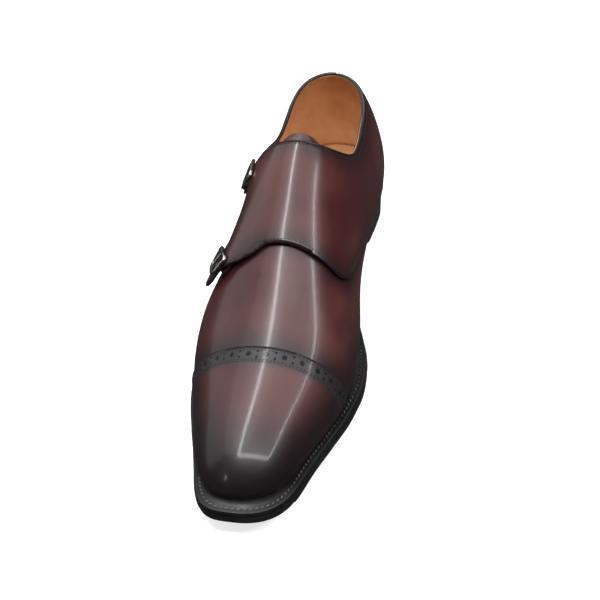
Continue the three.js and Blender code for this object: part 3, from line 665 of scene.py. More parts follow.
class Look:
    # one material
    def __init__(self, name):
        self.material = bpy.data.materials.new(name)
        self.material.use_nodes = True
        self.tree = self.material.node_tree
        self.tree.nodes.clear()

    def node(self, kind, settings=None, sockets=None, out=0):
        made = self.tree.nodes.new(kind)
        for key, value in (settings or {}).items():
            if key == "stops":
                ramp = made.color_ramp
                while len(ramp.elements) < len(value):
                    ramp.elements.new(0.5)
                for element, (at, colour) in zip(ramp.elements, value):
                    element.position, element.color = at, (*colour, 1)
            else:
                setattr(made, key, value)
        for key, value in (sockets or {}).items():
            if isinstance(value, Wire):
                self.tree.links.new(value.socket, made.inputs[key])
            elif isinstance(value, tuple) and len(made.inputs[key].default_value) == 4:
                made.inputs[key].default_value = (*value, 1)
            else:
                made.inputs[key].default_value = value
        return Wire(self, made.outputs[out]) if len(made.outputs) else None

    def place(self):
        return self.node("ShaderNodeTexCoord", out="Object")

    def axes(self):
        split = self.node("ShaderNodeSeparateXYZ", sockets={0: self.place()})
        return [Wire(self, split.socket.node.outputs[k]) * 1000 for k in range(3)]  # in millimetres

    def value(self, name):
        return self.node("ShaderNodeAttribute", {"attribute_name": name}, out="Fac")

    def noise(self, scale, detail=3.0, rough=0.5, stretch=(1, 1, 1)):
        mapped = self.node("ShaderNodeMapping", sockets={"Vector": self.place(), "Scale": stretch})
        return self.node("ShaderNodeTexNoise", sockets={
            "Vector": mapped, "Scale": scale, "Detail": detail, "Roughness": rough})

    def rise(self, value, low, high):
        # 0 below low and 1 above high, smooth between
        return self.node("ShaderNodeMapRange", {"interpolation_type": "SMOOTHSTEP"},
                         {0: value, 1: low, 2: high, 3: 0.0, 4: 1.0})

    def mix(self, mask, first, second):
        return self.node("ShaderNodeMix", {"data_type": "RGBA"}, {0: mask, 6: first, 7: second}, out=2)

    def bump(self, height, strength, distance):
        return self.node("ShaderNodeBump", sockets={
            "Height": height, "Strength": strength, "Distance": distance})

    def finish(self, **sockets):
        named = {key.replace("_", " "): value for key, value in sockets.items()}
        shader = self.node("ShaderNodeBsdfPrincipled", sockets=named)
        self.node("ShaderNodeOutputMaterial", sockets={"Surface": shader})
        return self.material


calf = {
    "deep": (0.0055, 0.003, 0.004), "wine": (0.034, 0.0065, 0.008), "warm": (0.060, 0.017, 0.016),
    "specular": 0.28, "coat": 0.22, "coatRough": 0.13, "waxed": 0.305, "dry": 0.12,
    "edgeShade": (-2.0, 15.0), "lowShade": (8.0, 30.0), "toeShade": (-234.0, -196.0),
}
brogue = {
    "period": 10.0, "middle": 4.6, "apart": 1.75, "depth": 14, "rim": 1.2,
    "large": (1.25, 1.6), "largeRim": (1.5, 2.3), "twin": (0.55, 0.85), "twinRim": (0.8, 1.3),
    "starts": (-0.5, 1.0), "ends": (8.6, 11.5), "tint": 0.82,
    "bandColour": (0.009, 0.008, 0.010), "paintedHoleShade": (0.0008, 0.0007, 0.0007),
}


def calfLook(name, brogued=False):
    look = Look(name)
    x, y, z = look.axes()
    cloud, fine = look.noise(26, 4, 0.55, (1.0, 0.55, 0.8)), look.noise(160, 3, 0.6)
    # darker at the panel edges, by the welt and over the toe
    light = look.rise(look.value("fromEdge"), *calf["edgeShade"])
    light = light * look.rise(z + y * 0.075, *calf["lowShade"])
    toe = look.rise(y + cloud * 24, *calf["toeShade"])
    red = look.mix(look.rise(cloud, 0.40, 0.66), calf["wine"], calf["warm"])
    shade = (light * 0.82 + 0.10 + (fine - 0.5) * 0.20) * (toe * 0.97 + 0.03)
    colour = look.mix(shade, calf["deep"], red)
    height = look.noise(1500, 2, 0.5) * 0.05 + look.noise(60, 2, 0.5) * 0.9
    # waxed over the toe and the instep, drier down the sides
    wax = look.rise(z + y * 0.18, 2.0, 34.0)
    rough = (1 - wax) * calf["dry"] + calf["waxed"] + (fine - 0.5) * 0.04
    if brogued:
        along, across, period = look.value("bandAlong"), look.value("bandAcross"), brogue["period"]
        cell = (along + period / 2).mod(period) - period / 2
        half = (along + period).mod(period) - period / 2
        mid = across - brogue["middle"]
        large = (cell * cell + mid * mid) ** 0.5
        twin = (half * half + (mid.maths("ABSOLUTE", mid, 0) - brogue["apart"]) ** 2) ** 0.5
        holes, rim = [(1 - look.rise(large, *brogue[a])).atLeast(1 - look.rise(twin, *brogue[b]))
                      for a, b in (("large", "twin"), ("largeRim", "twinRim"))]
        band = look.rise(across, *brogue["starts"]) * (1 - look.rise(across, *brogue["ends"]))
        colour = look.mix(band * brogue["tint"], colour, brogue["bandColour"])
        # the brogue holes are painted near black: painted shade of their depth, since no holes are cut
        colour = look.mix(holes, colour, brogue["paintedHoleShade"])
        height = height - holes * brogue["depth"] - rim * brogue["rim"]
        rough = rough + holes * 0.6 + band * 0.10
    return look.finish(
        Base_Color=colour, Roughness=rough, Normal=look.bump(height, 0.35, 0.0001),
        Coat_Weight=calf["coat"], Coat_Roughness=calf["coatRough"], Specular_IOR_Level=calf["specular"])


def plainLook(name, dark, light, rough, scale=60, grain=900, bump=0.25, coat=0.0, stretch=(1, 1, 1)):
    look = Look(name)
    cloud = look.noise(scale, 4, 0.6, stretch)
    colour = look.mix(look.rise(cloud, 0.32, 0.68), dark, light)
    height = look.noise(grain, 3, 0.6) + cloud * 0.6
    return look.finish(
        Base_Color=colour, Roughness=(cloud - 0.5) * 0.18 + rough, Normal=look.bump(height, bump, 0.00012),
        Coat_Weight=coat, Coat_Roughness=0.15, Specular_IOR_Level=0.25)


def metalLook(name, colour, rough, scratch):
    look = Look(name)
    haze = look.noise(220, 4, 0.6)
    lines = look.noise(900, 2, 0.6, (1, 0.12, 1))
    tone = look.mix(look.rise(haze, 0.3, 0.7), colour, tuple(0.82 * c for c in colour))
    return look.finish(Base_Color=tone, Metallic=1.0, Roughness=(haze - 0.5) * scratch + rough,
                       Normal=look.bump(lines, 0.05, 0.00004))


def soleLook(name):
    # dyed red forepart with shaded edges and a blackened stitch channel, black waist
    look = Look(name)
    x, y, z = look.axes()
    edge = look.value("fromEdge")
    cloud = look.noise(18, 4, 0.6, (1, 0.6, 1))
    fibre = look.noise(500, 4, 0.65, (1, 0.25, 1))
    waist = look.rise(y + (x - 3) * (x - 3) * 0.012 + 73, -0.8, 0.8)
    shade = look.rise(edge + cloud * 10, 7.0, 26.0)
    red = look.mix(shade, (0.055, 0.006, 0.012), (0.225, 0.008, 0.020))
    red = look.mix((fibre - 0.35) * 0.4, red, (0.12, 0.006, 0.014))
    channel = look.rise(edge, 5.6, 6.6)
    black = (1 - channel).atLeast(waist)
    colour = look.mix(black, red, (0.006, 0.005, 0.006))
    scuff = look.noise(70, 6, 0.7)
    return look.finish(
        Base_Color=colour, Roughness=(scuff - 0.5) * 0.25 + 0.36, Coat_Weight=0.25, Coat_Roughness=0.2,
        Normal=look.bump(fibre * 0.5 + scuff * 0.4, 0.25, 0.00012))


mainCalf = calfLook("calf")
capCalf = calfLook("capCalf", brogued=True)
edgeInk = plainLook("edgeInk", (0.004, 0.0035, 0.004), (0.012, 0.010, 0.011), 0.42, coat=0.2)
liningLeather = plainLook("liningLeather", (0.52, 0.26, 0.11), (0.68, 0.37, 0.18), 0.62, scale=30)
sockLeather = plainLook("sockLeather", (0.36, 0.17, 0.075), (0.50, 0.26, 0.12), 0.55, scale=24)
darkLeather = plainLook("darkLeather", (0.014, 0.006, 0.007), (0.040, 0.012, 0.013), 0.36,
                        scale=40, coat=0.4)
threadInk = plainLook("threadInk", (0.012, 0.009, 0.010), (0.030, 0.022, 0.022), 0.45, grain=3000)
weltThread = plainLook("weltThread", (0.020, 0.018, 0.018), (0.075, 0.068, 0.066), 0.34,
                       grain=3000, coat=0.3)
blackWax = plainLook("blackWax", (0.004, 0.0035, 0.004), (0.010, 0.009, 0.010), 0.44, scale=35, coat=0.1)
stackInk = plainLook("stackInk", (0.007, 0.006, 0.007), (0.018, 0.016, 0.016), 0.36,
                     scale=30, coat=0.25, stretch=(1, 1, 8))
heelRed = plainLook("heelRed", (0.10, 0.006, 0.014), (0.24, 0.010, 0.022), 0.42, scale=30, coat=0.15)
rubberBlack = plainLook("rubberBlack", (0.010, 0.010, 0.010), (0.020, 0.020, 0.020), 0.7,
                        grain=1200, bump=0.5)
soleLeather = soleLook("soleLeather")
nickel = metalLook("nickel", (0.33, 0.31, 0.30), 0.24, 0.25)
brass = metalLook("brass", (0.90, 0.66, 0.38), 0.16, 0.22)
steel = metalLook("steel", (0.62, 0.58, 0.52), 0.25, 0.2)
print("stage: finishes made")

# soft creases of the vamp in front of the flap and of the flap over the instep
creases = [  # y, x, half length, depth, width
    (-139, 6, 17, 0.06, 2.6), (-146, -2, 20, 0.05, 3.0), (-155, 4, 22, 0.04, 3.6),
    (-121, 8, 14, 0.06, 3.2), (-114, 0, 12, 0.03, 3.0),
]


def creased(uv):
    p = onSkin(uv)[0]
    total = np.zeros(len(uv))
    for y, x, reach, depth, wide in creases:
        across = (p[:, 0] - x) / reach
        along = (p[:, 1] - y + 0.004 * (p[:, 0] - x) ** 2) / wide
        total -= depth * np.exp(-(along ** 2)) * np.exp(-across**2)
    return total


def vampField(p, uv):
    side = p[:, 1:]
    return np.minimum.reduce([6 - inside(side, quarterRing), 7 - capInside(p), -inside(side, collarRing)])


def vampLevel(uv):
    p = onSkin(uv, last["wall"])[0]
    under = np.maximum(capInside(p), inside(p[:, 1:], quarterRing))
    return last["wall"] - 0.5 * smoothstep(under, 0.2, 2.5) + creased(uv)


def seamEdge(p, uv):
    return np.minimum(np.maximum(-capInside(p), 0), np.maximum(-inside(p[:, 1:], quarterRing), 0))


# the vamp darkens towards the seams that lie on it, and ends under the quarters
vampStart = 40
vamp = skinSheet(vampField, vampLevel, uRange=(vampStart, columns - vampStart),
                 extra={"fromEdge": seamEdge})
finishMesh("vamp", vamp, [mainCalf, edgeInk], ["upper"], solid=1.0)


def rolled(level, field, depth=0.3, width=1.4):
    # the edge of a panel turns down a little
    def made(uv):
        base = levelAt(level, uv)
        return base - depth * (1 - smoothstep(field(onSkin(uv, base)[0], uv), 0, width))
    return made


def capField(p, uv):
    return capInside(p)


capLine = []
for near in (0.25, 0.75):  # the seam's length from the ridge down, on the outer and the inner side
    u = np.linspace(columns * near, columns * 0.5, 400)
    line = []
    for k in range(rows + 1):
        p = onSkin(np.stack([u, np.full(len(u), float(k))], axis=1), last["raised"])[0]
        line.append(p[np.argmin(np.abs(capInside(p)))])
    steps = np.linalg.norm(np.diff(np.array(line), axis=0), axis=1)
    capLine.append(np.concatenate([np.cumsum(steps[::-1])[::-1], [0]]))


def bandAlong(p, uv):
    k = np.arange(rows + 1)
    outer, inner = [np.interp(uv[:, 1], k, line) for line in capLine]
    return np.where(uv[:, 0] < columns / 2, -outer, inner)


capLevel = rolled(last["raised"], capField)
cap = skinSheet(capField, capLevel, uRange=(columns // 4, columns - columns // 4),
                extra={"bandAlong": bandAlong, "bandAcross": capField})
finishMesh("toeCap", cap, [capCalf, edgeInk], ["upper"], solid=1.0)


def quarterField(p, uv):
    return np.minimum(inside(p[:, 1:], quarterRing), -inside(p[:, 1:], collarRing))


outerQuarter = skinSheet(quarterField, rolled(last["raised"], quarterField), uRange=(0, columns // 2))
finishMesh("outerQuarter", outerQuarter, [mainCalf, edgeInk], ["upper"], solid=1.0)


def flapField(p, uv):
    return flapInside(p, uv[:, 0] < columns / 2)


def flapLevel(uv):
    back = smoothstep((columns - uv[:, 0]) / perColumn, 0.0, 7.0)
    inner = last["raised"] + (last["flapHigh"] - last["raised"]) * back
    base = np.where(uv[:, 0] > columns * 0.75, inner, last["flapHigh"])
    return base + last["strapLift"] * standOff(uv) + creased(uv)


flap = skinSheet(flapField, rolled(flapLevel, flapField, 0.35, 1.8))
finishMesh("quarterFlap", flap, [mainCalf, edgeInk], ["quarter_flap"],
           solid=last["flap"] * 0.94)
print("stage: panels laid on the last")


def collarField(p, uv):
    return -inside(p[:, 1:], collarRing)


liningShape = {"level": 0.75, "rise": 0.55, "innerRise": 1.5, "near": (1.0, 14.0)}


def liningLevel(uv):
    # the lining meets the panels at the collar
    near = 1 - smoothstep(collarField(onSkin(uv)[0], uv), *liningShape["near"])
    rise = smoothstep(uv[:, 0], columns / 2 + 10, columns / 2 + 40)
    inner = rise * (1 - smoothstep(uv[:, 0], columns - 50, columns - 4))
    return liningShape["level"] + near * (liningShape["rise"] + liningShape["innerRise"] * inner)


lining = skinSheet(collarField, liningLevel, step=2)
finishMesh("lining", lining, [liningLeather, edgeInk], ["upper"], solid=0.7)

tongueShape = {"width": 27, "lift": 3.0, "sunk": 0.3, "top": 0.384, "above": 11, "low": 0.60,
               "middle": 0.45, "throat": (-97.0, -84.0)}
tongueX = float(form["ridge"](tongueShape["middle"] * lastLength))


def tongueRing():
    w = tongueShape["width"]
    top = last["overhang"] - tongueShape["top"] * lastLength + tongueShape["above"]
    low = last["overhang"] - tongueShape["low"] * lastLength
    mid = (top + low) / 2
    left = [[-w * 0.72, low], [-w, mid], [-w * 0.94, top - w * 0.6]]
    over = [[w * 0.94 * k, top - w * 0.2 * abs(k) ** 2.6] for k in np.linspace(-1, 1, 33)]
    return np.array(left + over + [[w, mid], [w * 0.72, low]]) + [tongueX, 0]


tongueOutline = tongueRing()


def tongueLevel(uv):
    throat = smoothstep(onSkin(uv)[0][:, 1], *tongueShape["throat"])
    return tongueShape["lift"] * smoothstep(uv[:, 1] / rows, 0.66, 0.88) * throat - tongueShape["sunk"]


tongue = skinSheet(lambda p, uv: inside(p[:, :2], tongueOutline), tongueLevel,
                   uRange=(columns // 8, columns - columns // 8))
finishMesh("tongue", tongue, [darkLeather, edgeInk], ["tongue"],
           solid=last["tongue"], bevel=0.4)


def outerCollar(p, uv):
    return np.where(uv[:, 0] < columns / 2, collarField(p, uv), 5.0)


def innerCollar(p, uv):
    return np.where(uv[:, 0] > columns / 2, inside(p[:, 1:], innerRing), 5.0)


# black rolled edge round the collar: the line it follows, its level and its half height
bead = {"halfWide": 0.9, "behind": -76, "above": 60}
beadRows = [(outerCollar, last["wall"], 1.75, 1.05),
            (innerCollar, flapLevel, lambda uv: flapLevel(uv) - 0.9, 1.1)]
collarBead = bmesh.new()
for field, level, beadLevel, halfHigh in beadRows:
    for chain in traced(field, [0.0], level):
        p, n = onSkin(chain, beadLevel)
        kept = (p[:, 1] > bead["behind"]) & (p[:, 2] > bead["above"])
        p, n = p[kept][::2], n[kept][::2]
        if kept.sum() > 20:
            sweep(collarBead, p, n, bead["halfWide"], halfHigh, closed=False, sections=10, square=2)
finishMesh("collarEdge", collarBead, [edgeInk], ["upper"])
print("stage: lining, tongue and collar edge made")

# stitches of the upper
seamThread = {"pitch": 2.0, "size": (1.55, 0.55, 0.42), "lift": 0.02, "shortest": 6}
seamInsets = {"cap": [1.3, 2.4, 7.6, 8.7], "flap": [2.1], "innerFlap": [3.3], "quarter": [1.6, 2.8]}
seamLimits = {"capTraced": -150, "capSewn": -160, "flapUnder": 62, "quarterBehind": -70, "quarterUnder": 56}
seams = bmesh.new()


def sew(field, offsets, level, keep):
    for chain in traced(field, offsets, level):
        p, n = onSkin(chain, level)
        ok = keep(p, chain)
        groups = np.split(np.arange(len(p)), np.where(np.diff(ok.astype(int)) != 0)[0] + 1)
        for g in groups:
            if ok[g[0]] and len(g) > seamThread["shortest"]:
                addStitches(seams, p[g], n[g], seamThread["pitch"], seamThread["size"],
                            lift=seamThread["lift"])


outOfReach = -9.0  # further outside than any seam is inside


def capSeam(p, uv):
    return np.where(p[:, 1] < seamLimits["capTraced"], capInside(p), outOfReach)


def outerSeam(p, uv):
    return np.where(uv[:, 0] < columns / 2, quarterField(p, uv), outOfReach)


def onCap(p, uv):
    return p[:, 1] < seamLimits["capSewn"]


def onFlap(p, uv):
    return uv[:, 1] > 1


def onInnerFlap(p, uv):
    return (uv[:, 0] > columns / 2) & (p[:, 2] < seamLimits["flapUnder"]) & (uv[:, 1] > 1)


def onOuterQuarter(p, uv):
    outer = (uv[:, 1] > 1) & (uv[:, 0] < columns / 2) & (uv[:, 0] > 1)
    return outer & ((p[:, 1] > seamLimits["quarterBehind"]) | (p[:, 2] < seamLimits["quarterUnder"]))


sew(capSeam, seamInsets["cap"], last["raised"], onCap)
sew(flapField, seamInsets["flap"], flapLevel, onFlap)
sew(flapField, seamInsets["innerFlap"], flapLevel, onInnerFlap)
sew(outerSeam, seamInsets["quarter"], last["raised"], onOuterQuarter)
finishMesh("upperStitches", seams, [threadInk], ["upper"])
print("stage: upper stitched")

# buckles
buckle = {"wire": 2.1, "depth": 14, "height": 2.0, "prong": 1.7, "prongHigh": 1.5, "corner": 2.6,
          "above": 0.3, "prongAbove": 0.35, "prongBow": 0.35, "prongOver": 0.4}
overStraps = skinSheet(lambda p, uv: np.ones(len(p)), flapLevel, uRange=(0, columns // 2), step=2)
strapTree = BVHTree.FromBMesh(overStraps)
overStraps.free()


def strapAxes(strap):
    place = strapPoint(strap, [[0, 0]])[0]
    hit, normal, _, _ = strapTree.ray_cast(Vector((-150, place[0], place[1])), Vector((1, 0, 0)))
    if normal.x > 0:
        normal = -normal
    along = Vector((0, -math.cos(strap["lean"]), math.sin(strap["lean"])))
    along = (along - normal * along.dot(normal)).normalized()
    return hit, along, normal.cross(along), normal


def onStrap(axes, local, height):
    hit, along, across, normal = axes
    out, normals = [], []
    for p, q in local:
        start = hit + along * p + across * q + normal * 15
        place, n, _, _ = strapTree.ray_cast(start, -normal)
        out.append((place if place else start - normal * 15) + normal * height)
        normals.append(normal)
    return np.array([list(v) for v in out]), np.array([list(v) for v in normals])


def roundedPath(w, h, r, count):
    x, y = w / 2 - r, h / 2 - r
    corners = [(x, y, 0), (-x, y, 90), (-x, -y, 180), (x, -y, 270)]
    points = []
    for cx, cy, start in corners:
        for k in range(7):
            angle = math.radians(start + 15 * k)
            points.append([cx + r * math.cos(angle), cy + r * math.sin(angle)])
    p = np.array(points + points[:1])
    at = np.concatenate([[0], np.cumsum(np.linalg.norm(np.diff(p, axis=0), axis=1))])
    s = np.arange(count) * at[-1] / count
    return np.stack([np.interp(s, at, p[:, k]) for k in range(2)], axis=1)


for name, strap in straps.items():
    low, axes, wire = name.lower(), strapAxes(strap), buckle["wire"]
    outline = roundedPath(strap["width"] + wire, buckle["depth"] - wire, buckle["corner"], 72)
    path, n = onStrap(axes, outline, buckle["above"] + buckle["height"] / 2)
    ring = bmesh.new()
    sweep(ring, path, n, wire / 2, buckle["height"] / 2, sections=16, square=3.0)
    finishMesh("buckleFrame" + name, ring, [nickel], ["buckle_frame_" + low])
    reach = buckle["depth"] / 2 - wire + buckle["prongOver"]
    line, n = onStrap(axes, [[0, q] for q in np.linspace(-reach, reach, 15)],
                      buckle["prongAbove"] + buckle["prongHigh"] / 2)
    line += n * (buckle["prongBow"] * np.cos(np.linspace(-1.3, 1.3, 15)))[:, None]
    prong = bmesh.new()
    sweep(prong, line, n, buckle["prong"] / 2, buckle["prongHigh"] / 2,
          closed=False, sections=14, square=2.4)
    finishMesh("buckleProng" + name, prong, [nickel], ["buckle_prong_" + low])
print("stage: buckles made")

# outline of the sole: points a millimetre or so apart with their outward directions
soleAt = stations(soleLength, 40, 220, 48)


def soleSide(a, side):
    return side * (tread["outer"](a) if side < 0 else tread["inner"](a)) * endFactor(a, soleLength)


soleRing = np.array([[soleSide(a, -1), soleBack - a] for a in soleAt]
                    + [[soleSide(a, 1), soleBack - a] for a in soleAt[-2:0:-1]])
edgeStep = np.roll(soleRing, -1, axis=0) - np.roll(soleRing, 1, axis=0)
soleOut = np.stack([edgeStep[:, 1], -edgeStep[:, 0]], axis=1)
soleOut /= np.linalg.norm(soleOut, axis=1, keepdims=True)
if soleOut[len(soleAt) // 2, 0] > 0:
    soleOut = -soleOut
heel = {"length": 67, "taper": 1.4, "dip": 5, "notch": 5, "top": 6, "rubber": 24, "gap": 0.3}
heelFront = soleBack - heel["length"]

plate = {"length": 19, "spike": 15, "thick": 1.3, "wing": 0.8, "beyond": 83}
plateY = toeY + plate["length"]
plateX = float(tread["inner"](soleLength) - tread["outer"](soleLength)) / 2


def plateEdge():
    w, deep, x, y = plate["length"] * plate["wing"], plate["length"] * 0.42, plateX, plateY

    def bow(p, c, q):
        return [[(1 - t) ** 2 * p[k] + 2 * t * (1 - t) * c[k] + t * t * q[k] for k in range(2)]
                for t in np.linspace(0, 1, 17)]
    left = bow([x - w, y + 1], [x - w * 0.62, y - deep], [x - w * 0.22, y])
    right = bow([x + w * 0.22, y], [x + w * 0.62, y - deep], [x + w, y + 1])
    spike = [[x - w * 0.03, y + plate["spike"]], [x + w * 0.03, y + plate["spike"]]]
    start, end = x - plate["beyond"], x + plate["beyond"]
    return np.array([[start, toeY - 12], [start, y + 1]] + left + spike + right
                    + [[end, y + 1], [end, toeY - 12]])


plateOutline = plateEdge()


def plank(low, high, widthSide, length, back, across=40, stops=(30, 150, 60)):
    # a plate between two heights over the whole outline, with straight columns along the foot
    bm = bmesh.new()
    at = stations(length, *stops)
    bmesh.ops.create_grid(bm, x_segments=across, y_segments=len(at) - 1, size=0.5)
    layer = bm.verts.layers.float.new("fromEdge")
    for v in bm.verts:
        s, a = (v.co.x + 0.5) * 2 - 1, at[int(round((v.co.y + 0.5) * (len(at) - 1)))]
        s = math.copysign(1 - (1 - abs(s)) ** 1.5, s)
        v.co = (widthSide(a, -1) * -s if s < 0 else widthSide(a, 1) * s, back - a, 0)
    bmesh.ops.remove_doubles(bm, verts=bm.verts, dist=0.01)
    flat = list(bm.verts)
    points = np.array([[v.co.x, v.co.y] for v in flat])
    distance = inside(points, soleRing[::2])
    for v, d in zip(flat, distance):
        v[layer] = max(d, 0)
    top = raisedVerts(bm)
    setHeights(flat, low)
    setHeights(top, high)
    bmesh.ops.recalc_face_normals(bm, faces=bm.faces)
    return bm


def setHeights(verts, height):
    xy = np.array([[v.co.x, v.co.y] for v in verts])
    for v, z in zip(verts, height(xy[:, 0], xy[:, 1])):
        v.co.z = z


def underSole(x, y):
    inPlate = inside(np.stack([x, y], axis=1), plateOutline)
    return soleUnder(y) + (plate["thick"] + 0.3) * smoothstep(inPlate, -0.3, 0.4)


outsole = plank(underSole, lambda x, y: soleUnder(y) + last["sole"], soleSide, soleLength, soleBack)
for face in outsole.faces:
    face.material_index = 0 if face.normal.z < -0.6 else 1
finishMesh("outsole", outsole, [soleLeather, blackWax], ["outsole"], bevel=0.7)

weltShape = {"wide": 13, "above": 0.3, "groove": 0.35, "grooveHalf": 1.1,
             "stitchIn": 3.4, "pitch": 3.0, "size": (2.7, 1.15, 0.9), "lift": -0.05, "turn": 0.35,
             "ends": -62}
channelShape = {"stitchIn": 5.4, "pitch": 2.6, "size": (1.9, 0.9, 0.5), "lift": 0.0, "turn": 0.5,
                "ends": -66, "fromPlate": 4}


def weltStrip(picked):
    ring = soleRing[picked] - soleOut[picked] * last["edge"]
    out = soleOut[picked]
    bm = bmesh.new()
    n = len(ring) - 1
    bmesh.ops.create_grid(bm, x_segments=n, y_segments=8, size=0.5)
    for v in bm.verts:
        i, inward = int(round((v.co.x + 0.5) * n)), (v.co.y + 0.5) * weltShape["wide"]
        p = ring[i] - out[i] * inward
        away = (inward - weltShape["stitchIn"]) / weltShape["grooveHalf"]
        groove = weltShape["groove"] * math.exp(-away ** 2)
        v.co = (p[0], p[1], seat(ring[i][1]) - groove)
    for v in raisedVerts(bm):
        v.co.z = float(soleUnder(v.co.y)) + last["sole"] + weltShape["above"]
    bmesh.ops.recalc_face_normals(bm, faces=bm.faces)
    return bm


inFront = [i for i in range(len(soleRing)) if soleRing[i][1] < heelFront]
behind = [i for i in range(len(soleRing)) if soleRing[i][1] >= heelFront]
cutAt = next(k for k in range(len(behind) - 1) if behind[k + 1] - behind[k] > 1)
behind = behind[cutAt + 1:] + behind[:cutAt + 1]
finishMesh("welt", weltStrip(inFront), [blackWax], ["welt"], bevel=0.5)
finishMesh("heelRand", weltStrip(behind), [blackWax], ["heel_rand"], bevel=0.5)


def seamPoints(inset, height):
    line = soleRing[inFront] - soleOut[inFront] * inset
    return np.column_stack([line, height(line[:, 1])])


def sewFlat(bm, points, upward, shape):
    normals = np.tile([0, 0, upward], (len(points), 1))
    addStitches(bm, points, normals, shape["pitch"], shape["size"], shape["lift"], shape["turn"])


weltSewing = bmesh.new()
line = seamPoints(weltShape["stitchIn"], seat)
sewFlat(weltSewing, line[line[:, 1] < weltShape["ends"]], 1.0, weltShape)
finishMesh("weltStitches", weltSewing, [weltThread], ["welt"])

channelSewing = bmesh.new()
line = seamPoints(channelShape["stitchIn"], soleUnder)
line = line[(line[:, 1] < channelShape["ends"]) & (line[:, 1] > plateY + channelShape["fromPlate"])]
for side in (line[:, 0] < 0, line[:, 0] >= 0):
    sewFlat(channelSewing, line[side], -1.0, channelShape)
finishMesh("channelStitches", channelSewing, [threadInk], ["outsole"])


sockShape = {"above": 0.3, "inside": 0.3}


def sockSide(a, side):
    width = (form["outer"](a) if side < 0 else form["inner"](a)) * endFactor(a, lastLength)
    return side * max(width - sockShape["inside"], 0)


sock = plank(lambda x, y: seat(y) + sockShape["above"],
             lambda x, y: seat(y) + sockShape["above"] + last["insole"],
             sockSide, lastLength, last["overhang"], across=16, stops=(16, 60, 16))
finishMesh("insole", sock, [sockLeather], ["insole"], bevel=0.4)
print("stage: sole, welt and insole made")


def heelOutline(z):
    taper = heel["taper"] * (1 - z / last["heelHeight"]) + last["edge"] * 2
    at = [a for a in stations(soleLength, 24, 90, 20) if a < heel["length"] - heel["notch"]]

    def fit(x, y):
        r = math.hypot(x, max(y, 0))
        return [x * (1 - taper / r), y * (1 - taper / r) if y > 0 else y]
    left = [fit(soleSide(a, -1), soleBack - a) for a in at]
    right = [fit(soleSide(a, 1), soleBack - a) for a in at[:0:-1]]
    xl, xr = [fit(soleSide(heel["length"], side), heelFront)[0] for side in (-1, 1)]
    breast = [[xl + (xr - heel["notch"] - xl) * t, heelFront + heel["dip"] * math.sin(math.pi * t)]
              for t in np.linspace(0, 1, 25)]
    return np.array(left + breast + [[xr, heelFront + heel["notch"]]] + right)


def rubberLine(x, shift):
    y = soleBack - heel["rubber"] + shift
    t = (x / (2 * halfBall) + 1) / 2
    bow = heel["rubber"] * 0.25
    return y - bow + 4 * bow * t * (1 - t)


def block(low, high, lowZ, highZ):
    bm = bmesh.new()
    bmesh.ops.create_circle(bm, cap_ends=True, segments=len(low), radius=1)
    bm.verts.ensure_lookup_table()
    order = list(bm.verts)
    for v, p in zip(order, low):
        v.co = (p[0], p[1], lowZ)
    pairs = {(round(v.co.x, 4), round(v.co.y, 4)): v for v in raisedVerts(bm)}
    for p, q in zip(low, high):
        v = pairs[(round(float(np.float32(p[0])), 4), round(float(np.float32(p[1])), 4))]
        v.co = (q[0], q[1], highZ(q[0], q[1]))
    bmesh.ops.recalc_face_normals(bm, faces=bm.faces)
    return bm


stack = block(heelOutline(heel["top"] + heel["gap"]), heelOutline(last["heelHeight"]),
              heel["top"] + heel["gap"], lambda x, y: float(soleUnder(y)) - heel["gap"])
finishMesh("heelStack", stack, [stackInk], ["heel_stack"], bevel=0.3, smooth=False)


def halves(ring, shift, back):
    # the part of an outline behind or in front of the rubber's edge
    mask = [(p[1] > rubberLine(p[0], shift)) == back for p in ring]
    kept = [i for i in range(len(ring)) if mask[i]]
    jump = next((k for k in range(len(kept) - 1) if kept[k + 1] - kept[k] > 1), None)
    if jump is not None:
        kept = kept[jump + 1:] + kept[:jump + 1]
    return kept


low, high = heelOutline(0), heelOutline(heel["top"])


def topPiece(back, shift):
    kept = halves(low, shift, back)
    out = []
    for ring in (low, high):
        part = [list(ring[i]) for i in kept]
        xs = np.linspace(part[-1][0], part[0][0], 20)[1:-1]
        out.append(np.array(part + [[x, rubberLine(x, shift)] for x in xs]))
    return block(out[0], out[1], 0.0, lambda x, y: heel["top"])


finishMesh("topPieceRubber", topPiece(True, heel["gap"] / 2), [rubberBlack],
           ["heel_top_rubber"], bevel=0.4, smooth=False)
leatherTop = topPiece(False, -heel["gap"] / 2)
for face in leatherTop.faces:
    face.material_index = 0 if face.normal.z < -0.6 else 1
finishMesh("topPieceLeather", leatherTop, [heelRed, stackInk],
           ["heel_top_leather"], bevel=0.3, smooth=False)

nails = bmesh.new()
nailPlaces = [(-22, -20), (-11, -16), (1, -15), (12, -17), (-24, -10), (23, -12), (-20, 2), (-8, 5),
              (5, 5), (18, 1)]
nail = {"foot": 0.7, "head": 0.9, "depth": 0.4, "middle": 0.17}
for x, y in nailPlaces:
    bmesh.ops.create_cone(nails, cap_ends=True, segments=10, radius1=nail["foot"],
                          radius2=nail["head"], depth=nail["depth"],
                          matrix=Matrix.Translation((x, y, nail["middle"])))
finishMesh("heelNails", nails, [steel], ["heel_top_leather"])

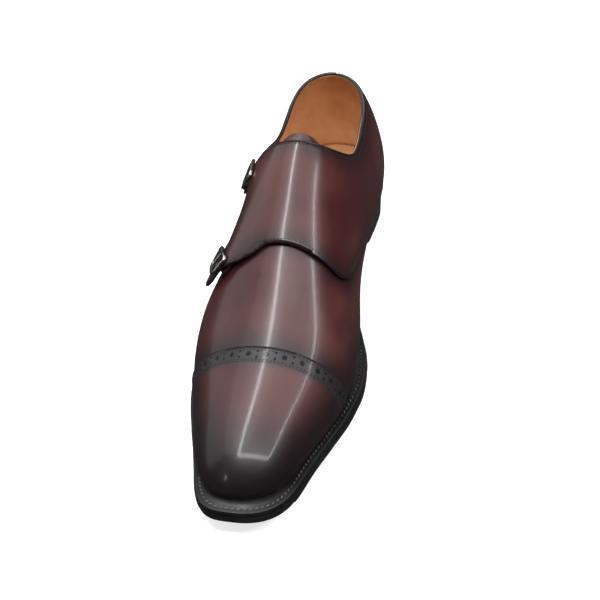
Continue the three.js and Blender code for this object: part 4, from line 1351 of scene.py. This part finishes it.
toePlate = bmesh.new()
ringIn = [i for i in range(len(soleRing)) if soleRing[i][1] < plateY + 1]
edgeIn = soleRing[ringIn] - soleOut[ringIn] * last["edge"]
plateRing = np.concatenate([edgeIn, plateOutline[2:-2][::-1]])
bmesh.ops.create_circle(toePlate, cap_ends=True, segments=len(plateRing), radius=1)
for v, p in zip(list(toePlate.verts), plateRing):
    v.co = (p[0], p[1], 0)
for y in np.arange(toeY + 1.5, plateY + plate["spike"], 2.0):
    geometry = toePlate.verts[:] + toePlate.edges[:] + toePlate.faces[:]
    bmesh.ops.bisect_plane(toePlate, geom=geometry, plane_co=(0, y, 0), plane_no=(0, 1, 0))
flatVerts = list(toePlate.verts)
upperVerts = raisedVerts(toePlate)
for verts, up in ((flatVerts, 0), (upperVerts, plate["thick"])):
    for v in verts:
        v.co.z = float(soleUnder(v.co.y)) + up
bmesh.ops.recalc_face_normals(toePlate, faces=toePlate.faces)
toePlate.normal_update()
for face in toePlate.faces:  # its outer wall at the toe is drawn in black wax
    wallFace = abs(face.normal.z) < 0.6 and face.calc_center_median().y < plateY - 1.5
    face.material_index = 1 if wallFace else 0
finishMesh("toePlate", toePlate, [brass, blackWax], ["toe_plate"], bevel=0.2)

screw = {"head": 2.1, "foot": 1.2, "depth": 1.6, "slot": (2.4, 0.5, 0.12, 1)}
sideways, sideY = plate["length"] * 0.78, toeY + plate["length"] * 0.66
screwPlaces = [(plateX, plateY + plate["spike"] * 0.12), (plateX, toeY + plate["length"] * 0.36),
               (plateX - sideways, sideY), (plateX + sideways, sideY)]
for k, (x, y) in enumerate(screwPlaces):
    tilt = math.atan((float(soleUnder(y - 2)) - float(soleUnder(y + 2))) / 4)
    bm = bmesh.new()
    bmesh.ops.create_cone(bm, cap_ends=True, segments=28, radius1=screw["head"], radius2=screw["foot"],
                          depth=screw["depth"], matrix=Matrix.Translation((0, 0, screw["depth"] / 2)))
    for arm in (0, 1):  # crossed slots: thin bars through the head's face, inked black as painted shade of the grooves
        turned = Matrix.Rotation(math.pi / 2 * arm + 0.3 * k, 4, "Z")
        bmesh.ops.create_cube(bm, size=1, matrix=turned @ Matrix.Diagonal(screw["slot"]))
    for face in bm.faces:
        # the slot bars take the black ink: painted shade in place of real grooves
        slotShadeFace = len(face.verts) == 4 and all(abs(v.co.z) < 0.1 for v in face.verts)
        face.material_index = 1 if slotShadeFace else 0
    bmesh.ops.rotate(bm, cent=(0, 0, 0), matrix=Matrix.Rotation(-tilt, 3, "X"), verts=bm.verts)
    bmesh.ops.translate(bm, vec=(x, y, float(soleUnder(y)) - 0.02), verts=bm.verts)
    finishMesh("toeScrew" + str(k + 1), bm, [brass, edgeInk],
               ["toe_screw_" + str(k + 1)], smooth=False)
print("stage: heel and toe plate made")

for node in bpy.context.scene.objects:  # the tabs of the straps
    if node.type == "MESH" and node.get("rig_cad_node") and not node.hide_render:
        for materialSlot in node.material_slots:
            materialSlot.material = darkLeather

# floor, light and camera
room = {"floor": 0.55, "floorGlow": 0.72, "wallGlow": 0.76, "world": 0.06}
bpy.context.scene.view_settings.view_transform = "Standard"
white = (1.0, 1.0, 1.0)
paleFloor = Look("paleFloor").finish(Base_Color=(room["floor"],) * 3, Roughness=0.8, Emission_Color=white,
                                     Emission_Strength=room["floorGlow"])
floorMesh = bmesh.new()
bmesh.ops.create_grid(floorMesh, x_segments=1, y_segments=1, size=4.0)
bmesh.ops.translate(floorMesh, vec=(0, 0, -0.0004), verts=floorMesh.verts)
floor = meshPiece("floor", floorMesh, [paleFloor])
floor.visible_glossy = False  # the gloss shows the lights and a dark room

paleBackdrop = Look("paleBackdrop").finish(Base_Color=(0.0, 0.0, 0.0), Roughness=1.0, Emission_Color=white,
                                           Emission_Strength=room["wallGlow"], Specular_IOR_Level=0.0)
backdropMesh = bmesh.new()
bmesh.ops.create_cone(backdropMesh, cap_ends=False, segments=96, radius1=3.6, radius2=4.4, depth=6,
                      matrix=Matrix.Translation((0, 0, 2.9)))
bmesh.ops.reverse_faces(backdropMesh, faces=backdropMesh.faces)
backdrop = meshPiece("backdrop", backdropMesh, [paleBackdrop])
backdrop.visible_glossy = backdrop.visible_diffuse = backdrop.visible_shadow = False

world = bpy.data.worlds.new("studio")
bpy.context.scene.world = world
world.use_nodes = True
background = world.node_tree.nodes["Background"]
background.inputs["Color"].default_value = (1, 1, 1, 1)
background.inputs["Strength"].default_value = room["world"]


def softLight(name, place, aim, size, power):
    light = bpy.data.lights.new(name, "AREA")
    light.shape, light.size, light.size_y, light.energy = "RECTANGLE", size[0], size[1], power
    lamp = placed(name, light)
    lamp.location = place
    lamp.rotation_mode = "QUATERNION"
    lamp.rotation_quaternion = (Vector(aim) - Vector(place)).to_track_quat("-Z", "Y")


# a wide soft panel above the shoe with brighter strips at its sides and front, and a large soft wall
# on the outer side
softLight("panel", (0.20, 0.20, 0.95), (0.20, 0.19, 0.0), (2.0, 1.25), 17.0)
softLight("wall", (-1.70, 0.35, 0.95), (0, -0.10, 0.05), (2.2, 1.5), 13.0)
softLight("stripOuter", (-0.19, -0.02, 0.92), (-0.19, -0.03, 0.0), (0.055, 0.88), 6.0)
softLight("stripInner", (0.93, -0.02, 0.92), (0.93, -0.03, 0.0), (0.060, 0.88), 6.0)
softLight("stripFront", (0.37, -0.45, 0.92), (0.37, -0.46, 0.0), (1.12, 0.09), 8.0)
softLight("spot", (-0.55, -0.95, 0.55), (0, -0.22, 0.03), (0.10, 0.16), 0.6)

view = {"eye": (0.15978, -0.63271, 0.48681), "aim": (0.006, -0.120, 0.030),
        "azimuth": 9.555, "elevation": 37.0, "roll": -1.037, "lens": 48 * 1.55}
az, el, roll = [math.radians(view[key]) for key in ("azimuth", "elevation", "roll")]
back = Vector((math.sin(az) * math.cos(el), -math.cos(az) * math.cos(el), math.sin(el)))
right = (-back).cross(Vector((0, 0, 1))).normalized()
imageRight = right * math.cos(roll) + right.cross(-back) * math.sin(roll)
back = (Vector(view["eye"]) - Vector(view["aim"])).normalized()
imageRight = (imageRight - back * imageRight.dot(back)).normalized()
cameraData = bpy.data.cameras.new("camera")
cameraData.sensor_width, cameraData.lens = 36, view["lens"]
camera = placed("camera", cameraData)
camera.matrix_world = Matrix((imageRight, back.cross(imageRight), back)).transposed().to_4x4()
camera.location = view["eye"]
bpy.context.scene.camera = camera
print("stage: floor, light and camera set")
